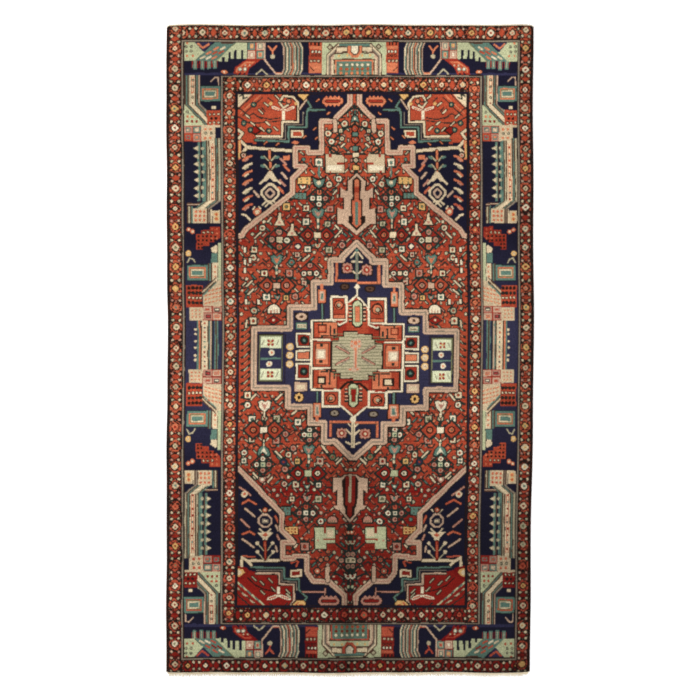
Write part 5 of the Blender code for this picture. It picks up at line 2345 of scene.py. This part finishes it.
WOVEN = woven_material("woven back")
print("the weft shows every", KNOT_M, "m")

# %% The back of the rug
WEB_BOTTOM, WEB_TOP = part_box("woven_foundation")[0][2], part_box("woven_foundation")[1][2]
BACK_ACROSS, BACK_ALONG = 224, 400
whole_size = (2 * HALF_WIDTH, 2 * HALF_LENGTH)
back = grid_piece("woven_back", BACK_ACROSS, BACK_ALONG, whole_size, (0, 0, WEB_BOTTOM))
walled(back, WEB_TOP - WEB_BOTTOM)
paint_knots(back, top_only=False)
flat_unwrap(back, up=-1)
settle(back)
smooth(back, 40)
belongs(back, WOVEN, "cotton", "woven_foundation")
print("woven back faces", len(back.data.polygons))

# %% [markdown]
# ## The bound sides
# Each side is a bundle of warps overcast with dark wool, over and over, a turn for every row or so. One turn
# of the winding is modelled and repeated along the side with an array. Its rings lean, as hand-wound yarn
# does. The warps inside are a plain cord that shows a little at both ends.


# %% Plain yarns
def yarn(name, looks, patches, shades, hairs, greys, bump):
    """Yarn in two shades, which lie in patches, under its hairs."""
    made, tree, shader = new_material(name, *looks)
    scale, positions = patches
    ramp = ramp_node(tree, noise_node(tree, scale, 3), positions, [daylight(shade) for shade in shades])
    fuzz = noise_node(tree, hairs, 2)
    multiplied(tree, shader, ramp, spread(tree, fuzz, 0.3, 0.7, *greys))
    bumped(tree, shader, ((fuzz, 1.0),), *bump)
    return made


BROWNS, CREAMS = ((34, 22, 18), (74, 40, 28)), ((196, 178, 146), (226, 212, 184))
dark_looks, cotton_looks = (0.92, 0.15, (1.0, 0.85, 0.7)), (0.94, 0.1, (1.0, 0.95, 0.85))
dark_patches, cotton_patches = (9, (0.36, 0.66)), (14, (0.34, 0.68))
DARK_WOOL = yarn("dark overcast wool", dark_looks, dark_patches, BROWNS, 1300, (0.7, 1.25), (0.0006, 0.7))
COTTON = yarn("undyed cotton", cotton_looks, cotton_patches, CREAMS, 1100, (0.84, 1.08), (0.0005, 0.6))
print("materials so far", len(bpy.data.materials))

# %% Cords and their UV maps
ALONG_Y, ALONG_Z = (math.pi / 2, 0, 0), (0, 0, 0)


def tube(name, sides, radius, length, middle=(0, 0, 0), turn=ALONG_Y, ends="NGON"):
    """A straight cord."""
    nothing_selected()
    bpy.ops.mesh.primitive_cylinder_add(
        vertices=sides, radius=radius, depth=length, location=middle, rotation=turn, end_fill_type=ends
    )
    piece = bpy.context.object
    piece.name = piece.data.name = name
    return piece


def strip_unwrap(piece, along=1, across=(0, 2), rows=24):
    """Folds a long piece's length into rows of the UV square, with its girth across each row."""
    mesh = piece.data
    corners = read_out(mesh.loops, "vertex_index", kind=int)
    counts = read_out(mesh.polygons, "loop_total", kind=int)
    places, centres = read_out(mesh.vertices, "co", 3), read_out(mesh.polygons, "center", 3)
    low, high = places.min(1), places.max(1)
    middle = (low + high) / 2

    def rows_along(points):
        return (points[along] - low[along]) / (high[along] - low[along]) * rows

    def girth(points):
        side, rise = (points[way] - middle[way] for way in across)
        return np.arctan2(rise, side) / (2 * np.pi) + 0.5

    row = np.repeat(np.clip(rows_along(centres).astype(int), 0, rows - 1), counts)
    turn = girth(places)[corners]
    turn = turn - np.round(turn - np.repeat(girth(centres), counts))
    u = np.clip(rows_along(places)[corners] - row, -0.1, 1.1) * 0.94 + 0.03
    v = (row + 0.06 + 0.88 * np.clip(turn, 0, 1)) / rows
    mesh.uv_layers.new(name="OFBake").data.foreach_set("uv", np.stack((u, v), axis=1).ravel())


print("long pieces are folded into rows, so that they fill the square")

# %% Overcast sides
OVERCAST_PITCH, SIDES_OF_TURN = 0.0026, 10
SWELL, TURN_LEAN, DRAWN_IN = 1.25, 0.45, 0.55


def one_turn(name, x_middle, start, radius):
    """One turn of the winding. The middle of it stands out, and it leans."""
    middle = (x_middle, start + OVERCAST_PITCH / 2, radius)
    piece = tube(name, SIDES_OF_TURN, radius * 0.80, OVERCAST_PITCH, middle, ends="NOTHING")
    apply_place(piece)
    cut_lengthwise(piece, 1, 0.001, 2)
    x, y, z = read_out(piece.data.vertices, "co", 3)
    share, across = (y - start) / OVERCAST_PITCH, x - x_middle
    swell = np.where((share > 0.2) & (share < 0.8), SWELL, 1.0)
    leaning = y + TURN_LEAN * OVERCAST_PITCH * (across / radius)
    move_points(piece, x_middle + across * swell, leaning, radius + (z - radius) * swell)
    return piece


def overcast_side(word):
    """The winding of one side, from one turn. Its ends close in on the warps."""
    low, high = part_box(f"selvedge_wrap_{word}")
    radius, x_middle = (high[2] - low[2]) / 2, (low[0] + high[0]) / 2
    piece = one_turn(f"overcast_{word}", x_middle, low[1], radius)
    array = piece.modifiers.new("turns", "ARRAY")
    array.use_relative_offset, array.use_constant_offset = False, True
    array.constant_offset_displace = (0, OVERCAST_PITCH, 0)
    array.count = int((high[1] - low[1]) / OVERCAST_PITCH)
    array.use_merge_vertices, array.merge_threshold = True, 0.0001
    bpy.ops.object.modifier_apply(modifier=array.name)
    begin(piece, "EDGE")
    bpy.ops.mesh.select_non_manifold()
    bpy.ops.mesh.extrude_edges_move()
    bpy.ops.transform.resize(value=(DRAWN_IN, 1, DRAWN_IN), center_override=(x_middle, 0, radius))
    bpy.ops.mesh.select_all(action="SELECT")
    bpy.ops.mesh.normals_make_consistent(inside=False)
    end()
    strip_unwrap(piece)
    settle(piece)
    smooth(piece, 60)
    belongs(piece, DARK_WOOL, "dark_wool", f"selvedge_wrap_{word}")
    side_warps(word, x_middle, radius)
    print(piece.name, "faces", len(piece.data.polygons))


def side_warps(word, x_middle, radius):
    """The warps inside a bound side, as one cord. They come out a little at both ends."""
    low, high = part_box(f"selvedge_core_{word}")
    piece = tube(f"side_warps_{word}", 10, radius * 0.62, high[1] - low[1] + 0.002, (x_middle, 0, radius))
    apply_place(piece)
    cut_lengthwise(piece, 1, 0.1, 160)
    strip_unwrap(piece)
    settle(piece)
    smooth(piece)
    belongs(piece, COTTON, "cotton", f"selvedge_core_{word}")


for word in ("left", "right"):
    overcast_side(word)

# %% [markdown]
# ## The two ends
# Past the last knots a twined cord holds the pile, then comes a narrow band of plain weave, and then the
# cut warps, which make a short fringe. The cord is an oval rod, twisted along its length. The band is a
# grid whose crossings stand up in turn, as threads do that go over and under.

# %% End cords and plain weave
CORD_LAY, CORD_FLATNESS = 0.009, 0.6
WEAVE_ACROSS, WEFT_PITCH, CROSSING_RISE = 560, 0.0015, 0.00025


def end_cord(word):
    """An oval rod, twisted while it stands upright, and then laid along the end."""
    low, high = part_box(f"end_cord_{word}")
    radius, length = (high[2] - low[2]) / 2, high[0] - low[0]
    piece = tube(f"twined_cord_{word}", 8, radius, length, turn=ALONG_Z)
    piece.scale = (1.0, CORD_FLATNESS, 1)
    apply_place(piece)
    without_maps(piece)
    cut_lengthwise(piece, 2, 0.1, 900)
    twist = piece.modifiers.new("twist", "SIMPLE_DEFORM")
    twist.deform_method, twist.deform_axis = "TWIST", "Z"
    twist.angle = math.tau * length / CORD_LAY
    bpy.ops.object.modifier_apply(modifier=twist.name)
    piece.rotation_euler = (0, math.pi / 2, 0)
    piece.location = [(a + b) / 2 for a, b in zip(low, high)]
    apply_place(piece)
    strip_unwrap(piece, along=0, across=(1, 2))
    settle(piece)
    smooth(piece)
    return belongs(piece, COTTON, "cotton", f"end_cord_{word}")


def plain_weave(word):
    """A grid whose crossings stand up in turn."""
    low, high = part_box(f"flat_weave_{word}")
    wide, tall = high[0] - low[0], high[1] - low[1]
    along = max(2, round(tall / WEFT_PITCH))
    middle = ((low[0] + high[0]) / 2, (low[1] + high[1]) / 2, high[2] - 0.0003)
    piece = grid_piece(f"plain_weave_{word}", WEAVE_ACROSS, along, (wide, tall), middle)
    x, y, z = read_out(piece.data.vertices, "co", 3)
    crossing = np.round((x - low[0]) / wide * WEAVE_ACROSS) + np.round((y - low[1]) / tall * along)
    move_points(piece, x, y, z + CROSSING_RISE * (1 - 2 * (crossing % 2)))
    walled(piece, low[2] + 0.0006 - high[2])
    flat_unwrap(piece)
    settle(piece)
    smooth(piece, 80)
    return belongs(piece, COTTON, "cotton", f"flat_weave_{word}")


print("crossings over the width", WEAVE_ACROSS)

# %% Fringe
STRAND_RADIUS, STRAND_SPACING = 0.0012, 0.0048


def fringe_strand(reach, way):
    """One bundle of cut warps, which thins towards its free end."""
    strand = tube("strand", 6, STRAND_RADIUS, reach)
    apply_place(strand)
    cut_lengthwise(strand, 1, reach / 2, 2)
    x, y, z = read_out(strand.data.vertices, "co", 3)
    share = 0.5 + way * y / reach
    width = 1.0 - 0.45 * share**2 + 0.5 * share * (1 - share)
    move_points(strand, x * width, y, z * 0.6 + 0.0003 * (share - 0.5) ** 2)
    return strand


def fringe(word, way, seed, lengths_of_cut):
    """Short bundles of cut warps, copied along the end from one, each turned a little."""
    low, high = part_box(f"fringe_{word}")
    reach, y_middle = high[1] - low[1], (low[1] + high[1]) / 2
    numbers = np.random.default_rng(seed)
    strand = fringe_strand(reach, way)
    copies = []
    for place in np.arange(low[0] + 0.004, high[0] - 0.003, STRAND_SPACING):
        copy = strand.copy()
        copy.data = strand.data.copy()
        bpy.context.scene.collection.objects.link(copy)
        stretch = numbers.uniform(*lengths_of_cut)
        shift = way * reach * (stretch - 1) / 2
        copy.location = (place + numbers.uniform(-0.0015, 0.0015), y_middle + shift, low[2] + 0.0009)
        copy.rotation_euler = (0, 0, numbers.uniform(-0.35, 0.35))
        copy.scale = (numbers.uniform(0.8, 1.25), stretch, 1)
        copies.append(copy)
    bpy.data.objects.remove(strand)
    nothing_selected()
    for copy in copies:
        copy.select_set(True)
    bpy.context.view_layer.objects.active = copies[0]
    bpy.ops.object.join()
    piece = bpy.context.object
    piece.name = piece.data.name = f"cut_warps_{word}"
    apply_place(piece)
    settle(piece)
    smooth(piece, 60)
    return belongs(piece, COTTON, "cotton", f"fringe_{word}")


print("strands at each end, about", int(2 * HALF_WIDTH / STRAND_SPACING))

# %% Both ends
finishings = []
for word, way, seed, lengths_of_cut in (("bottom", -1, 41, (0.9, 1.9)), ("top", 1, 42, (0.75, 1.05))):
    made = [end_cord(word), plain_weave(word), fringe(word, way, seed, lengths_of_cut)]
    print("end", word, "faces", [len(piece.data.polygons) for piece in made])
    finishings += made

# %% [markdown]
# ## Floor, light and camera
# The rug lies on a plain white floor and is seen from straight above, through a long lens. Two wide
# lamps at a low angle from the top left and the right give the tufts their shade, and the world lights
# the rest evenly.

# %% Floor
nothing_selected()
bpy.ops.mesh.primitive_plane_add(size=24, location=(0, 0, -0.0005))
floor = bpy.context.object
floor.name = "floor"
white, _, shader = new_material("white floor", 0.9)
shader.inputs["Base Color"].default_value = (0.88, 0.88, 0.88, 1)
floor.data.materials.append(white)
print("floor at", round(floor.location.z, 4))


# %% Lamps
def lamp(name, place, size, power, shade=(1, 1, 1)):
    """A square lamp that looks at the middle of the rug."""
    data = bpy.data.lights.new(name, "AREA")
    data.shape, data.size, data.energy, data.color = "SQUARE", size, power, shade
    made = bpy.data.objects.new(name, data)
    bpy.context.scene.collection.objects.link(made)
    made.location = place
    made.rotation_mode = "QUATERNION"
    made.rotation_quaternion = (-Vector(place)).to_track_quat("-Z", "Y")


lamp("key", (-3.6, 3.2, 3.4), 3.0, 260, (1.0, 0.985, 0.96))
lamp("fill", (4.2, -2.4, 3.8), 3.5, 120, (0.96, 0.98, 1.0))
lamp("overhead", (0.5, -0.5, 9.0), 5.0, 330)
world = bpy.data.worlds.new("studio")
bpy.context.scene.world = world
world.use_nodes = True
sky = world.node_tree.nodes["Background"].inputs
sky["Color"].default_value, sky["Strength"].default_value = (1, 1, 1, 1), 0.55
bpy.context.scene.view_settings.view_transform = "Standard"
print("lamps", len(bpy.data.lights))

# %% Camera
LENS, SENSOR = 85, 36
SEEN_WIDTH = 2.87
camera_data = bpy.data.cameras.new("camera")
camera_data.lens, camera_data.sensor_width = LENS, SENSOR
camera = bpy.data.objects.new("camera", camera_data)
bpy.context.scene.collection.objects.link(camera)
camera.location = (0.0008, -0.0041, PILE_TOP + SEEN_WIDTH * LENS / SENSOR)
bpy.context.scene.camera = camera
print("camera height", round(camera.location.z, 3))
